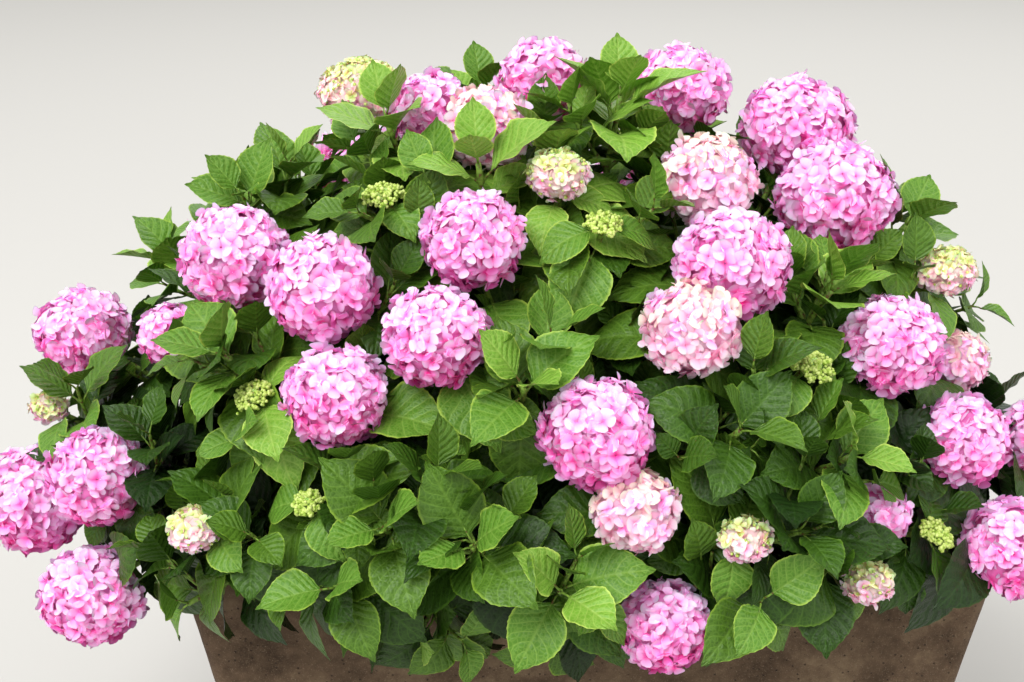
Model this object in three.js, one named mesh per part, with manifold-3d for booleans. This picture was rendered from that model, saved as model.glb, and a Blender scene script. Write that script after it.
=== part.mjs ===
import * as THREE from "three";
import { mergeVertices } from "three/addons/utils/BufferGeometryUtils.js";
import Module from "manifold-3d";

// A mophead hydrangea in a tapered stone trough. Millimetres, +Z up. +X runs along the trough,
// the side that is seen first faces -Y, and the origin is the middle of the trough's underside.

const wasm = await Module();
wasm.setup();

const up = new THREE.Vector3(0, 0, 1);
const degree = Math.PI / 180;
const clearance = 0.3; // between pieces that rest on each other

// Trough: sizes at the rim, and how far the ends and sides lean in from the rim to the foot
const trough = { length: 1000, width: 430, height: 420, endLean: 85, sideLean: 50, corner: 22, bevel: 5 };
const troughWall = 38;
const troughFloor = 45;
const soilBelowRim = 45;
const soilLevel = trough.height - soilBelowRim;

// Woody stool that the stems rise from: its top is narrower than its foot by topShare
const stool = { halfLength: 170, halfWidth: 105, height: 72, topShare: 0.8, sides: 21, rings: 2 };
const stoolLobes = { count: 7, depth: 0.06 };
const stoolTopLevel = soilLevel + clearance + stool.height;

// Stems, from the stool to a mass of foliage. Each stands on the stool between inner and outer share
// of its half sizes, climbs, arches a little, and ends at share of the way to where its mass branches.
const stem = { footRadius: 9.5, tipRadius: 5.5, sides: 5, steps: 5, share: 0.72 };
const stemFeet = { inner: 0.13, outer: 0.62 };
const stemBend = { along: 0.3, climb: 0.6, arch: 0.12 };

// Crown: half sizes of the dome round its middle, and how boxy it is above and below it
const crownMiddle = new THREE.Vector3(-55, 0, 530);
const crown = { halfLength: 690, halfDepth: 470, rise: 520, drop: 215, upperPower: 1.6, lowerPower: 2.5 };
const crownEdge = 1.05; // the furthest reach of a leaf tip

// Where a mass branches, as a share of the way out, and how far over the rim it stays
const hub = { share: 0.62, overRim: 75, endRadius: 5 };

// Twigs come up under their heads: ahead is the way they point there, outwards and upwards
const twig = { radius: 3.8, tipRadius: 3.4, steps: 2, outward: 0.7, upward: 0.45, bend: 0.42, overRim: 45 };
const twigRoots = { first: 0.06, last: 0.98 }; // along the part of the stem that is inside the mass

// Leaves, larger than life, in pairs down each twig
const leaf = { length: 160, width: 116, widest: 0.46, keel: 8, droop: 0.22, lift: 0.38, uprightness: 0.5 };
const youngLeaf = { size: 0.75, lift: 0.75 };
const pairsPerTwig = 3;
const nodeSpacing = 50; // along a twig between two pairs
const leafTurns = [0, 18, -18, 36, -36, 54, -54, 72, -72]; // tried before a leaf is left out
const leafSizes = [1, 0.86, 0.74, 0.62];
const freeStalk = 14; // the length of leaf that may touch its twig
const spaceMargin = 0.5; // from a leaf to the edge of its mass's space
const guard = 1.5; // kept free round stems, twigs, heads and trough

// Flower heads: the share of each kind on the side that is not seen, and its least width
const headKinds = {
  ripe: { share: 0.62, width: 108 },
  pale: { share: 0.18, width: 100 },
  opening: { share: 0.12, width: 60 },
  bud: { share: 0.08, width: 40 },
};
const headWidthSpread = 24;
const largeHead = 70; // wider heads are rounder balls
const hiddenHeads = { candidates: 150, lowest: -0.12, highest: 0.97, spacing: 182, from: 30, reach: 0.88 };
const bareShoulder = { left: -330, above: 800 }; // no head here: the left side falls away under leaves

// Sprays with no flower close the crown between the heads
const sprays = { candidates: 420, lowest: -0.46, highest: 0.97, spacing: 120, reach: 0.86 };

const colours = {
  stone: new THREE.MeshStandardMaterial({ color: "#62544a", roughness: 0.95, metalness: 0 }),
  soil: new THREE.MeshStandardMaterial({ color: "#2e241c", roughness: 1, metalness: 0 }),
  bark: new THREE.MeshStandardMaterial({ color: "#7b6a4f", roughness: 0.9, metalness: 0 }),
  foliage: new THREE.MeshStandardMaterial({ color: "#3f7a35", roughness: 0.6, metalness: 0 }),
};

// Each mass of the side that is seen, with its shoots as [kind, width, x, y, z]
const seenMasses = {
  left_end: [
    ["ripe", 140, -690, -120, 480],
    ["ripe", 125, -585, -215, 550],
    ["opening", 50, -665, -110, 600],
    ["ripe", 125, -640, -15, 665],
    ["ripe", 130, -600, -225, 400],
  ],
  left_shoulder: [
    ["ripe", 135, -415, -170, 805],
    ["ripe", 130, -305, -255, 795],
    ["ripe", 85, -500, -145, 705],
    ["leafy", 0, -415, -285, 725],
  ],
  front_left: [
    ["ripe", 120, -285, -335, 695],
    ["bud", 42, -380, -320, 695],
    ["bud", 32, -315, -390, 595],
    ["opening", 65, -445, -355, 545],
    ["leafy", 0, -465, -320, 435],
    ["leafy", 0, -230, -420, 575],
    ["leafy", 0, -285, -410, 500],
  ],
  upper_left: [
    ["ripe", 120, -135, -250, 850],
    ["ripe", 120, -175, -325, 760],
    ["leafy", 0, -80, -375, 720],
  ],
  front_middle: [
    ["ripe", 130, 0, -380, 670],
    ["pale", 100, 40, -405, 590],
    ["leafy", 0, -135, -435, 560],
    ["leafy", 0, -40, -440, 510],
    ["ripe", 110, 75, -400, 450],
    ["opening", 60, 160, -415, 560],
    ["leafy", 0, 180, -410, 485],
  ],
  upper_right: [
    ["pale", 115, 105, -310, 765],
    ["ripe", 135, 155, -245, 820],
    ["pale", 120, 135, -160, 895],
    ["leafy", 0, 155, -375, 670],
  ],
  top_left: [
    ["opening", 110, -280, 35, 965],
    ["bud", 45, -240, -200, 895],
    ["ripe", 105, -190, -70, 960],
    ["leafy", 0, -130, -200, 925],
    ["pale", 110, -120, -120, 950],
    ["leafy", 0, -240, -110, 960],
  ],
  top_middle: [
    ["ripe", 115, -55, -35, 990],
    ["ripe", 120, 120, 30, 970],
    ["leafy", 0, 35, -100, 985],
    ["opening", 75, -40, -210, 915],
    ["bud", 40, 10, -255, 875],
  ],
  top_right: [
    ["ripe", 145, 265, 25, 920],
    ["ripe", 150, 300, -75, 855],
    ["leafy", 0, 390, -65, 820],
    ["opening", 75, 435, -95, 770],
  ],
  right_end: [
    ["ripe", 125, 345, -230, 720],
    ["pale", 85, 455, -100, 655],
    ["ripe", 115, 435, -235, 605],
    ["ripe", 125, 490, -285, 490],
    ["ripe", 115, 575, -80, 545],
    ["bud", 40, 395, -315, 525],
    ["leafy", 0, 275, -215, 780],
  ],
  front_right: [
    ["ripe", 80, 325, -305, 540],
    ["opening", 60, 305, -365, 485],
    ["leafy", 0, 220, -395, 560],
    ["leafy", 0, 280, -350, 630],
    ["bud", 50, 240, -315, 730],
  ],
};

// Each mass of the side that is not seen, by its bearing from the front and its rise, in degrees
const hiddenMasses = {
  back_left_end: [-112, 12],
  back_left: [-148, 14],
  back_middle: [176, 14],
  back_right: [143, 14],
  back_right_end: [108, 12],
  upper_back_left: [-135, 50],
  upper_back_right: [142, 50],
};

// A seeded draw between 0 and 1
function drawer(seed) {
  let state = seed;
  return () => {
    state = (state * 1664525 + 1013904223) % 4294967296;
    return state / 4294967296;
  };
}

// A bearing of 0 faces the viewer (-Y) and 90 the right-hand end (+X)
function direction(bearing, rise) {
  const b = bearing * degree;
  const r = rise * degree;
  return new THREE.Vector3(Math.sin(b) * Math.cos(r), -Math.cos(b) * Math.cos(r), Math.sin(r));
}

// How far a place lies from the middle of the crown, where 1 is its outer surface
function reachOf(place) {
  const d = place.clone().sub(crownMiddle);
  const across = Math.hypot(d.x / crown.halfLength, d.y / crown.halfDepth);
  const power = d.z > 0 ? crown.upperPower : crown.lowerPower;
  const along = Math.abs(d.z) / (d.z > 0 ? crown.rise : crown.drop);
  return (across ** power + along ** power) ** (1 / power);
}

function crownPlace(outward, reach) {
  return crownMiddle.clone().addScaledVector(outward, reach / reachOf(crownMiddle.clone().add(outward)));
}

// Places spread evenly over the crown by the golden angle, between the sines of two rises
function crownSpiral({ candidates, lowest, highest, reach }, draw) {
  const goldenAngle = 137.508;
  return Array.from({ length: candidates }, (_, i) => {
    const rise = Math.asin(lowest + ((highest - lowest) * (i + 0.5)) / candidates) / degree;
    return crownPlace(direction(i * goldenAngle, rise), reach + 0.05 * draw());
  });
}

function insideTrough(place, room) {
  const x = Math.abs(place.x) < trough.length / 2 + room;
  const y = Math.abs(place.y) < trough.width / 2 + room;
  return x && y && place.z < trough.height + room;
}

// A closed geometry with its position alone, so that its corners can be shared
function welded(geometry) {
  const bare = geometry.clone();
  bare.deleteAttribute("normal");
  bare.deleteAttribute("uv");
  return mergeVertices(bare, 1e-4);
}

function solidOf(geometry) {
  const closed = welded(geometry);
  return new wasm.Manifold(
    new wasm.Mesh({
      numProp: 3,
      vertProperties: new Float32Array(closed.attributes.position.array),
      triVerts: new Uint32Array(closed.index.array),
    }),
  );
}

function geometryOf(solid) {
  const made = solid.getMesh();
  const geometry = new THREE.BufferGeometry();
  geometry.setAttribute("position", new THREE.BufferAttribute(made.vertProperties, 3));
  geometry.setIndex(new THREE.BufferAttribute(made.triVerts, 1));
  geometry.computeVertexNormals();
  return geometry;
}

const joined = (solids) => wasm.Manifold.union(solids);
const touches = (a, b) => !a.intersect(b).isEmpty();

// The one body that is left when hollows are filled and scraps are dropped
function wholeBody(solid) {
  return solid.decompose().reduce((a, b) => (b.volume() > a.volume() ? b : a));
}

function mesh(name, geometry, material) {
  const made = new THREE.Mesh(geometry, material);
  made.name = name;
  return made;
}

function cornersOf(geometry) {
  const p = geometry.attributes.position;
  return Array.from({ length: p.count }, (_, i) => new THREE.Vector3().fromBufferAttribute(p, i));
}

// A block with rounded corners, made at its rim size and drawn in towards its foot.
// Every side stands back from the trough's outer face by inset.
function battered(inset, bottom, top, bevel) {
  const x = trough.length / 2 - inset;
  const y = trough.width / 2 - inset;
  const r = Math.max(trough.corner - inset / 2, 4);
  const quarter = Math.PI / 2;
  const outline = new THREE.Shape();
  outline.absarc(x - r, -y + r, r, -quarter, 0);
  outline.absarc(x - r, y - r, r, 0, quarter);
  outline.absarc(-x + r, y - r, r, quarter, 2 * quarter);
  outline.absarc(-x + r, -y + r, r, 2 * quarter, 3 * quarter);
  const block = new THREE.ExtrudeGeometry(outline, {
    depth: top - bottom - 2 * bevel,
    curveSegments: 3,
    bevelEnabled: bevel > 0,
    bevelSize: bevel,
    bevelThickness: bevel,
    bevelOffset: -bevel,
    bevelSegments: 1,
  });
  block.translate(0, 0, bottom + bevel);
  const p = block.attributes.position;
  for (let i = 0; i < p.count; i++) {
    const below = (trough.height - p.getZ(i)) / trough.height;
    p.setX(i, p.getX(i) * (1 - (trough.endLean * below) / (trough.length / 2)));
    p.setY(i, p.getY(i) * (1 - (trough.sideLean * below) / (trough.width / 2)));
  }
  return block;
}

function troughGeometry() {
  const outside = solidOf(battered(0, 0, trough.height, trough.bevel));
  const inside = solidOf(battered(troughWall, troughFloor, trough.height + 1, 0));
  return geometryOf(outside.subtract(inside));
}

function soilGeometry() {
  return battered(troughWall + 2 * clearance, troughFloor + clearance, soilLevel, 0);
}

// A low woody mound with a flat underside, flared at the soil and lobed where its stems stand
function stoolGeometry() {
  const mound = new THREE.CylinderGeometry(1, 1, 1, stool.sides, stool.rings);
  mound.rotateX(Math.PI / 2);
  const p = mound.attributes.position;
  for (let i = 0; i < p.count; i++) {
    const height = p.getZ(i) + 0.5;
    const around = Math.atan2(p.getY(i), p.getX(i));
    const flare = stool.topShare + (1 - stool.topShare) * (1 - height) ** 2;
    const girth = flare * (1 + stoolLobes.depth * Math.cos(around * stoolLobes.count));
    const x = p.getX(i) * stool.halfLength * girth;
    const y = p.getY(i) * stool.halfWidth * girth;
    p.setXYZ(i, x, y, soilLevel + clearance + height * stool.height);
  }
  return mound;
}

// A bend from one place to another, with a direction square to it that keeps sections from twisting
function bend(start, middle, end) {
  const curve = new THREE.QuadraticBezierCurve3(start, middle, end);
  const legs = [middle.clone().sub(start), end.clone().sub(middle)];
  curve.square = new THREE.Vector3().crossVectors(legs[0], legs[1]).normalize();
  if (curve.square.lengthSq() < 0.5) curve.square.set(1, 0, 0);
  return curve;
}

// A tapering limb with flat ends along part of a bend
function limbGeometry(curve, [from, to], [footRadius, tipRadius], sides, steps) {
  const limb = new THREE.CylinderGeometry(1, 1, 1, sides, steps);
  const p = limb.attributes.position;
  for (let i = 0; i < p.count; i++) {
    const share = p.getY(i) + 0.5;
    const t = from + (to - from) * share;
    const tangent = curve.getTangent(t);
    const across = new THREE.Vector3().crossVectors(tangent, curve.square).normalize();
    const over = new THREE.Vector3().crossVectors(across, tangent);
    const radius = footRadius + (tipRadius - footRadius) * share;
    const place = curve.getPoint(t);
    place.addScaledVector(across, p.getX(i) * radius).addScaledVector(over, p.getZ(i) * radius);
    p.setXYZ(i, place.x, place.y, place.z);
  }
  return limb;
}

// A stem of the stool, made thicker by extra. Its foot is cut level, just above the stool's top.
function stemGeometry(mass, extra) {
  const radii = [stem.footRadius + extra, stem.tipRadius + extra];
  const limb = limbGeometry(mass.stem, [0, stem.share], radii, stem.sides, stem.steps);
  const p = limb.attributes.position;
  const foot = mass.stem.getPoint(0).z;
  const halfStep = mass.stem.getPoint(stem.share / stem.steps / 2).z;
  for (let i = 0; i < p.count; i++)
    if (p.getZ(i) < halfStep) p.setZ(i, foot - extra / 2);
  return limb;
}

// A leaf of four faces: bent down across its widest place, with a keel along its midrib below.
// It runs along its length, its upper side looks along facing, and stalk is what is left off its root.
function leafGeometry(root, along, facing, length, stalk) {
  const side = new THREE.Vector3().crossVectors(along, facing).normalize();
  const top = new THREE.Vector3().crossVectors(side, along).normalize();
  const half = (leaf.width / leaf.length) * (length / 2);
  const corner = (a, s, t) =>
    root.clone().addScaledVector(along, a).addScaledVector(side, s).addScaledVector(top, t);
  const corners = [
    corner(stalk, 0, 0),
    corner(length * leaf.widest, -half, leaf.keel),
    corner(length * leaf.widest, half, leaf.keel),
    corner(length, 0, -leaf.keel / 2),
  ];
  const faces = [
    [0, 2, 1],
    [1, 2, 3],
    [0, 1, 3],
    [0, 3, 2],
  ];
  return new THREE.BufferGeometry().setFromPoints(corners).setIndex(faces.flat());
}

// A flower head: a ball of many florets, a little flattened and knobbly
function headGeometry(shoot, extra, draw) {
  const head = welded(new THREE.IcosahedronGeometry(1, shoot.width > largeHead ? 1 : 0));
  const p = head.attributes.position;
  for (let i = 0; i < p.count; i++) {
    const radius = (shoot.width / 2) * (0.95 + 0.05 * draw()) + extra;
    p.setXYZ(i, p.getX(i) * radius, p.getY(i) * radius, p.getZ(i) * radius * 0.94);
  }
  return head.translate(shoot.place.x, shoot.place.y, shoot.place.z);
}

function middleOf(shoots) {
  const middle = new THREE.Vector3();
  for (const shoot of shoots) middle.addScaledVector(shoot.place, 1 / shoots.length);
  return middle;
}

// Every mass with its shoots: heads that are seen, heads of the hidden side, and leafy sprays
function plantMasses() {
  const draw = drawer(11);
  const masses = Object.entries(seenMasses).map(([name, rows]) => {
    const shoots = rows.map(([kind, width, x, y, z]) => ({ kind, width, place: new THREE.Vector3(x, y, z) }));
    return { name, shoots, middle: middleOf(shoots) };
  });
  for (const [name, [bearing, rise]] of Object.entries(hiddenMasses))
    masses.push({ name, shoots: [], middle: crownPlace(direction(bearing, rise), hiddenHeads.reach) });
  plantHiddenHeads(masses, draw);
  plantSprays(masses, draw);
  return masses;
}

function drawnKind(draw) {
  let left = draw();
  for (const [kind, { share }] of Object.entries(headKinds)) {
    if (left < share) return kind;
    left -= share;
  }
  return "bud";
}

function plantHiddenHeads(masses, draw) {
  for (const place of crownSpiral(hiddenHeads, draw)) {
    const kind = drawnKind(draw);
    const width = headKinds[kind].width + Math.round(draw() * headWidthSpread);
    if (place.y < hiddenHeads.from || insideTrough(place, width / 2 + 10)) continue;
    if (place.x < bareShoulder.left && place.z > bareShoulder.above) continue;
    const heads = masses.flatMap((m) => m.shoots).filter((s) => s.width > 0);
    if (heads.some((s) => s.place.distanceTo(place) < hiddenHeads.spacing)) continue;
    const ways = masses.map((m) => m.middle.distanceTo(place));
    masses[ways.indexOf(Math.min(...ways))].shoots.push({ kind, width, place });
  }
}

function plantSprays(masses, draw) {
  for (const place of crownSpiral(sprays, draw)) {
    if (insideTrough(place, place.z < trough.height + 15 ? 70 : 32)) continue;
    const gaps = masses.map((m) => Math.min(...m.shoots.map((s) => s.place.distanceTo(place) - s.width / 6)));
    const least = Math.min(...gaps);
    if (least > sprays.spacing) masses[gaps.indexOf(least)].shoots.push({ kind: "leafy", width: 0, place });
  }
}

// Where a mass branches, and the stem that carries it there from the stool
function placeStem(mass) {
  const outward = middleOf(mass.shoots).sub(crownMiddle);
  mass.hub = crownMiddle.clone().addScaledVector(outward, hub.share);
  mass.hub.z = Math.max(mass.hub.z, trough.height + hub.overRim);
  const level = new THREE.Vector2(outward.x / crown.halfLength, outward.y / crown.halfDepth);
  level.setLength(Math.min(stemFeet.outer, stemFeet.inner + stemFeet.outer * level.length()));
  const foot = new THREE.Vector3(level.x * stool.halfLength, level.y * stool.halfWidth, 0);
  foot.z = stoolTopLevel + clearance;
  const turn = foot.clone().lerp(mass.hub, stemBend.along);
  const run = Math.hypot(mass.hub.x - foot.x, mass.hub.y - foot.y);
  turn.z = foot.z + (mass.hub.z - foot.z) * stemBend.climb + run * stemBend.arch;
  mass.stem = bend(foot, turn, mass.hub);
}

// A twig leaves the stem inside the mass and comes up under its head or tip, over the rim
function placeTwigs(mass) {
  const inside = 1 - stem.share;
  mass.shoots.forEach((shoot, i) => {
    const order = i / Math.max(1, mass.shoots.length - 1);
    const along = twigRoots.first + (twigRoots.last - twigRoots.first) * order;
    const start = mass.stem.getPoint(stem.share + inside * along);
    const ahead = shoot.place.clone().sub(crownMiddle).normalize().multiplyScalar(twig.outward);
    ahead.addScaledVector(up, twig.upward).normalize();
    const middle = shoot.place.clone().addScaledVector(ahead, -twig.bend * shoot.place.distanceTo(start));
    middle.z = Math.max(middle.z, trough.height + twig.overRim);
    shoot.twig = bend(start, middle, shoot.place.clone());
  });
}

// The space of a mass: balls round its stem, twigs and heads. The edge between two masses is the
// plane of equal power of a ball of each, so that every leaf keeps to the side of its own ball.
function placeSpace(mass) {
  const ball = (centre, radius) => ({ centre, weight: radius ** 2 });
  mass.space = [ball(mass.hub, 30), ball(mass.stem.getPoint((1 + stem.share) / 2), 10)];
  for (const shoot of mass.shoots) {
    mass.space.push(ball(shoot.place, Math.max(shoot.width / 2, 40)));
    mass.space.push(ball(shoot.twig.getPoint(0.75), 30));
    mass.space.push(ball(shoot.twig.getPoint(0.5), 25));
  }
}

// How far inside the space of its mass a set of corners lies
function roomOf(corners, space, otherSpaces) {
  let best = -Infinity;
  for (const own of space) {
    let least = Infinity;
    for (const other of otherSpaces) {
      const apart = own.centre.distanceTo(other.centre);
      for (const c of corners) {
        const power = c.distanceToSquared(other.centre) - other.weight;
        const ownPower = c.distanceToSquared(own.centre) - own.weight;
        least = Math.min(least, (power - ownPower) / (2 * apart));
      }
      if (least < best) break;
    }
    best = Math.max(best, least);
  }
  return best;
}

// The stem, twigs and heads of a mass, each made thicker by extra
function skeletonOf(mass, extra) {
  const draw = drawer(mass.seed);
  const start = stem.share + clearance / mass.stem.getLength();
  const radii = [stem.tipRadius + extra, hub.endRadius + extra];
  const twigRadii = [twig.radius + extra, twig.tipRadius + extra];
  const parts = [limbGeometry(mass.stem, [start, 1], radii, stem.sides, 2)];
  for (const shoot of mass.shoots) {
    parts.push(limbGeometry(shoot.twig, [0, 1], twigRadii, 3, twig.steps));
    if (shoot.width > 0) parts.push(headGeometry(shoot, extra, draw));
  }
  return joined(parts.map(solidOf));
}

// Pairs of leaves down a twig from its head, each pair square to the one before it
function leavesOf(shoot, draw) {
  const leaves = [];
  const leafy = shoot.kind === "leafy";
  const first = leafy ? 4 : shoot.width / 2 + freeStalk;
  const turn = draw() * 180;
  for (let pair = 0; pair < pairsPerTwig; pair++) {
    const t = 1 - (first + pair * nodeSpacing) / shoot.twig.getLength();
    if (t < 0.12) break;
    const step = Math.min(Math.floor(t * twig.steps), twig.steps - 1);
    const ends = [shoot.twig.getPoint(step / twig.steps), shoot.twig.getPoint((step + 1) / twig.steps)];
    const root = ends[0].clone().lerp(ends[1], t * twig.steps - step);
    const axis = ends[1].sub(ends[0]).normalize();
    const young = leafy && pair === 0;
    for (const opposite of [0, 180]) {
      const ownTurn = turn + pair * 90 + opposite + (draw() - 0.5) * 24;
      const size = leaf.length * (young ? youngLeaf.size : 0.9 + 0.16 * draw());
      leaves.push({ root, axis, turn: ownTurn, size, lift: young ? youngLeaf.lift : leaf.lift });
    }
  }
  return leaves;
}

function leafAt({ root, axis, lift }, [turn, size], stalk) {
  const spread = new THREE.Vector3().crossVectors(axis, up).normalize().applyAxisAngle(axis, turn * degree);
  const along = spread.addScaledVector(axis, lift).normalize().addScaledVector(up, -leaf.droop).normalize();
  const facing = axis.clone().addScaledVector(up, leaf.uprightness).normalize();
  return leafGeometry(root, along, facing, size, stalk);
}

// A mass with its leaves, each turned or made smaller where it doesn't fit, and left out where none fits
function foliageGeometry(mass, otherSpaces, limbs) {
  const draw = drawer(mass.seed + 1);
  let body = skeletonOf(mass, 0);
  for (const planned of mass.shoots.flatMap((shoot) => leavesOf(shoot, draw))) {
    const fits = (way) => {
      const blade = leafAt(planned, way, freeStalk);
      const corners = cornersOf(blade);
      if (Math.max(...corners.map(reachOf)) > crownEdge) return false;
      if (roomOf(corners, mass.space, otherSpaces) < spaceMargin) return false;
      return !touches(solidOf(blade), body) && !touches(solidOf(blade), limbs);
    };
    const ways = leafSizes.flatMap((share) =>
      leafTurns.map((turn) => [planned.turn + turn, planned.size * share]),
    );
    const way = ways.find(fits);
    if (way) body = body.add(solidOf(leafAt(planned, way, 0)));
  }
  return geometryOf(wholeBody(body));
}

const plant = new THREE.Group();
plant.add(mesh("planter_trough", troughGeometry(), colours.stone));
plant.add(mesh("soil", soilGeometry(), colours.soil));
plant.add(mesh("woody_stool", stoolGeometry(), colours.bark));

const masses = plantMasses();
masses.forEach((mass, i) => {
  mass.seed = 100 + i;
  placeStem(mass);
  placeTwigs(mass);
  placeSpace(mass);
});

const troughGuard = solidOf(battered(-guard, -guard, trough.height + guard, 0));
const stemGuards = masses.map((mass) => solidOf(stemGeometry(mass, guard)));
const skeletonGuards = masses.map((mass) => skeletonOf(mass, guard));
masses.forEach((mass, i) => {
  const limbs = joined([troughGuard, ...stemGuards, ...skeletonGuards.filter((_, j) => j !== i)]);
  const otherSpaces = masses.filter((other) => other !== mass).flatMap((other) => other.space);
  plant.add(mesh("stem_" + mass.name, stemGeometry(mass, 0), colours.bark));
  plant.add(mesh("foliage_" + mass.name, foliageGeometry(mass, otherSpaces, limbs), colours.foliage));
});

export default plant;
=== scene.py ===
import math

import bmesh
import bpy
import mathutils
import numpy as np
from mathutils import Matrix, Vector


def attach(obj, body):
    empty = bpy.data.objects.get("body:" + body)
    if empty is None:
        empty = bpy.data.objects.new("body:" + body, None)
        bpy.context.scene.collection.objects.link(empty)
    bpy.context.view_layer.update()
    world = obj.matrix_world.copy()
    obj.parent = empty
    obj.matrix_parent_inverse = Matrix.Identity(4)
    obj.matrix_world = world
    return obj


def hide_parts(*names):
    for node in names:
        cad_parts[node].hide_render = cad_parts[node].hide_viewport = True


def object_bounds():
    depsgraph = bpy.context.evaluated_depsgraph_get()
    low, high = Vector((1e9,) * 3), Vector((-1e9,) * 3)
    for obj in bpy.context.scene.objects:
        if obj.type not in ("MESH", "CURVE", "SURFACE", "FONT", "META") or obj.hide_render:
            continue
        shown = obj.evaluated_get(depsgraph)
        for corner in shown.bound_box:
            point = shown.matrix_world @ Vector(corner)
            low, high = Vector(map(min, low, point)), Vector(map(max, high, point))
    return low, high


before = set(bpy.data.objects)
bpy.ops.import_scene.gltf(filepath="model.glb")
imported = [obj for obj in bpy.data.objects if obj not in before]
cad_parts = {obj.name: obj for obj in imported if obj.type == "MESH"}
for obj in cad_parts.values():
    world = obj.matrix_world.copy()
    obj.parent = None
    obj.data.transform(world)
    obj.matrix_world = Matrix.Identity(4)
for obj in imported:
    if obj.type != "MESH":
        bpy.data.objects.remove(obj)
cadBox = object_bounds()
bpy.ops.object.select_all(action="DESELECT")
print("frame loaded")

# Sizes are in millimetres up to where a mesh is made. +X runs along the trough, -Y is the side seen first.
mm = 0.001
near = 0.2 * mm             # how close a vertex has to be to count as at a level
up = np.array([0.0, 0.0, 1.0])
fullTurn = 6.28             # radians
goldenTurn = 2.39996        # from one floret to the next, for an even spread


# Materials

# An sRGB hex colour in Blender's linear values
def hexColour(text):
    parts = [int(text[i : i + 2], 16) / 255 for i in (1, 3, 5)]
    return tuple(p / 12.92 if p <= 0.04045 else ((p + 0.055) / 1.055) ** 2.4 for p in parts) + (1.0,)


# Gives a colour ramp its three stops, each a position and a colour
def setStops(ramp, low, middle, high):
    for stop, (position, colour) in zip(ramp.elements, (low, high)):
        stop.position = position
        stop.color = hexColour(colour)
    ramp.elements.new(middle[0]).color = hexColour(middle[1])


# Adds a node, sets its properties, and sets or links its inputs, in the node's order or by name or number.
# A node as an input stands for its first output.
def addNode(tree, kind, settings, inputs):
    node = tree.nodes.new("ShaderNode" + kind)
    for name, value in settings.items():
        if name == "stops":
            setStops(node.color_ramp, *value)
        else:
            setattr(node, name, value)
    for socket, value in inputs.items() if isinstance(inputs, dict) else enumerate(inputs):
        if isinstance(value, bpy.types.Node):
            value = value.outputs[0]
        if isinstance(value, bpy.types.NodeSocket):
            tree.links.new(value, node.inputs[socket])
        else:
            node.inputs[socket].default_value = value
    return node


def newMaterial(name, finish):
    material = bpy.data.materials.new(name)
    material.use_nodes = True
    tree = material.node_tree
    shader = tree.nodes["Principled BSDF"]
    shader.inputs["Roughness"].default_value = finish["roughness"]
    shader.inputs["Specular IOR Level"].default_value = finish["specular"]
    return material, tree, shader


# Links a material's colour, and its relief with the strength and depth of its finish
def finishMaterial(material, shader, colour, height, finish):
    tree = material.node_tree
    bump = addNode(tree, "Bump", {},
                   {"Strength": finish["bump"], "Distance": finish["depth"] * mm, "Height": height})
    tree.links.new(colour, shader.inputs["Base Color"])
    tree.links.new(bump.outputs[0], shader.inputs["Normal"])
    return material


# Hydrangea leaf: soft, quilted between its side veins, matt with a low sheen, and paler along vein and edge
leafFinish = {
    "roughness": 0.44, "specular": 0.27,
    "sideVeins": 7,             # to each side of the midrib
    "veinSlant": 2.3,           # how far they run forward, in vein spacings
    "waver": 0.5,               # how unevenly they run, in vein spacings
    "waverSize": 22.22,         # mm
    "veinFade": (0.02, 0.12),   # from the middle of a side vein to its edge, in vein spacings
    "ribFade": (0.02, 0.09),    # the same for the midrib, in half widths of the leaf
    "netSize": 5,               # mm, coarser than life, so that the net of small veins shows
    "netFade": (0.02, 0.2),
    "netShare": 0.55,           # of the veins' strength, for the net between them
    "veinShare": 0.46,          # of the vein's colour in a vein
    "edgeFrom": 0.9, "edgeShare": 0.8,
    "mottle": 38,               # mm, size of the lighter and darker patches
    "light": 1.55,              # of a light patch, where a dark one has 1
    "groove": (0.16, 0.5),      # width and rise to each side of the midrib
    "netRise": 0.5,
    "bump": 0.9, "depth": 2.0,  # mm, of the quilting
}
# Six tones from deep to lime: young leaves take the lighter ones, and the tones are also dealt out as painted
# light and painted shade by where a pair stands, in toneOf
leafColours = {
    "leafDeep": ("#122606", "#2b4a17", "#2d4912"),
    "leafShade": ("#1e3608", "#42681f", "#476a1a"),
    "leafMid": ("#2a480c", "#557a28", "#5f8224"),
    "leafBright": ("#3a5913", "#6c9134", "#84a433"),
    "leafFresh": ("#466d1c", "#86a849", "#a6c24d"),
    "leafLime": ("#5f8728", "#a4c05e", "#c3d866"),
}


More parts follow.
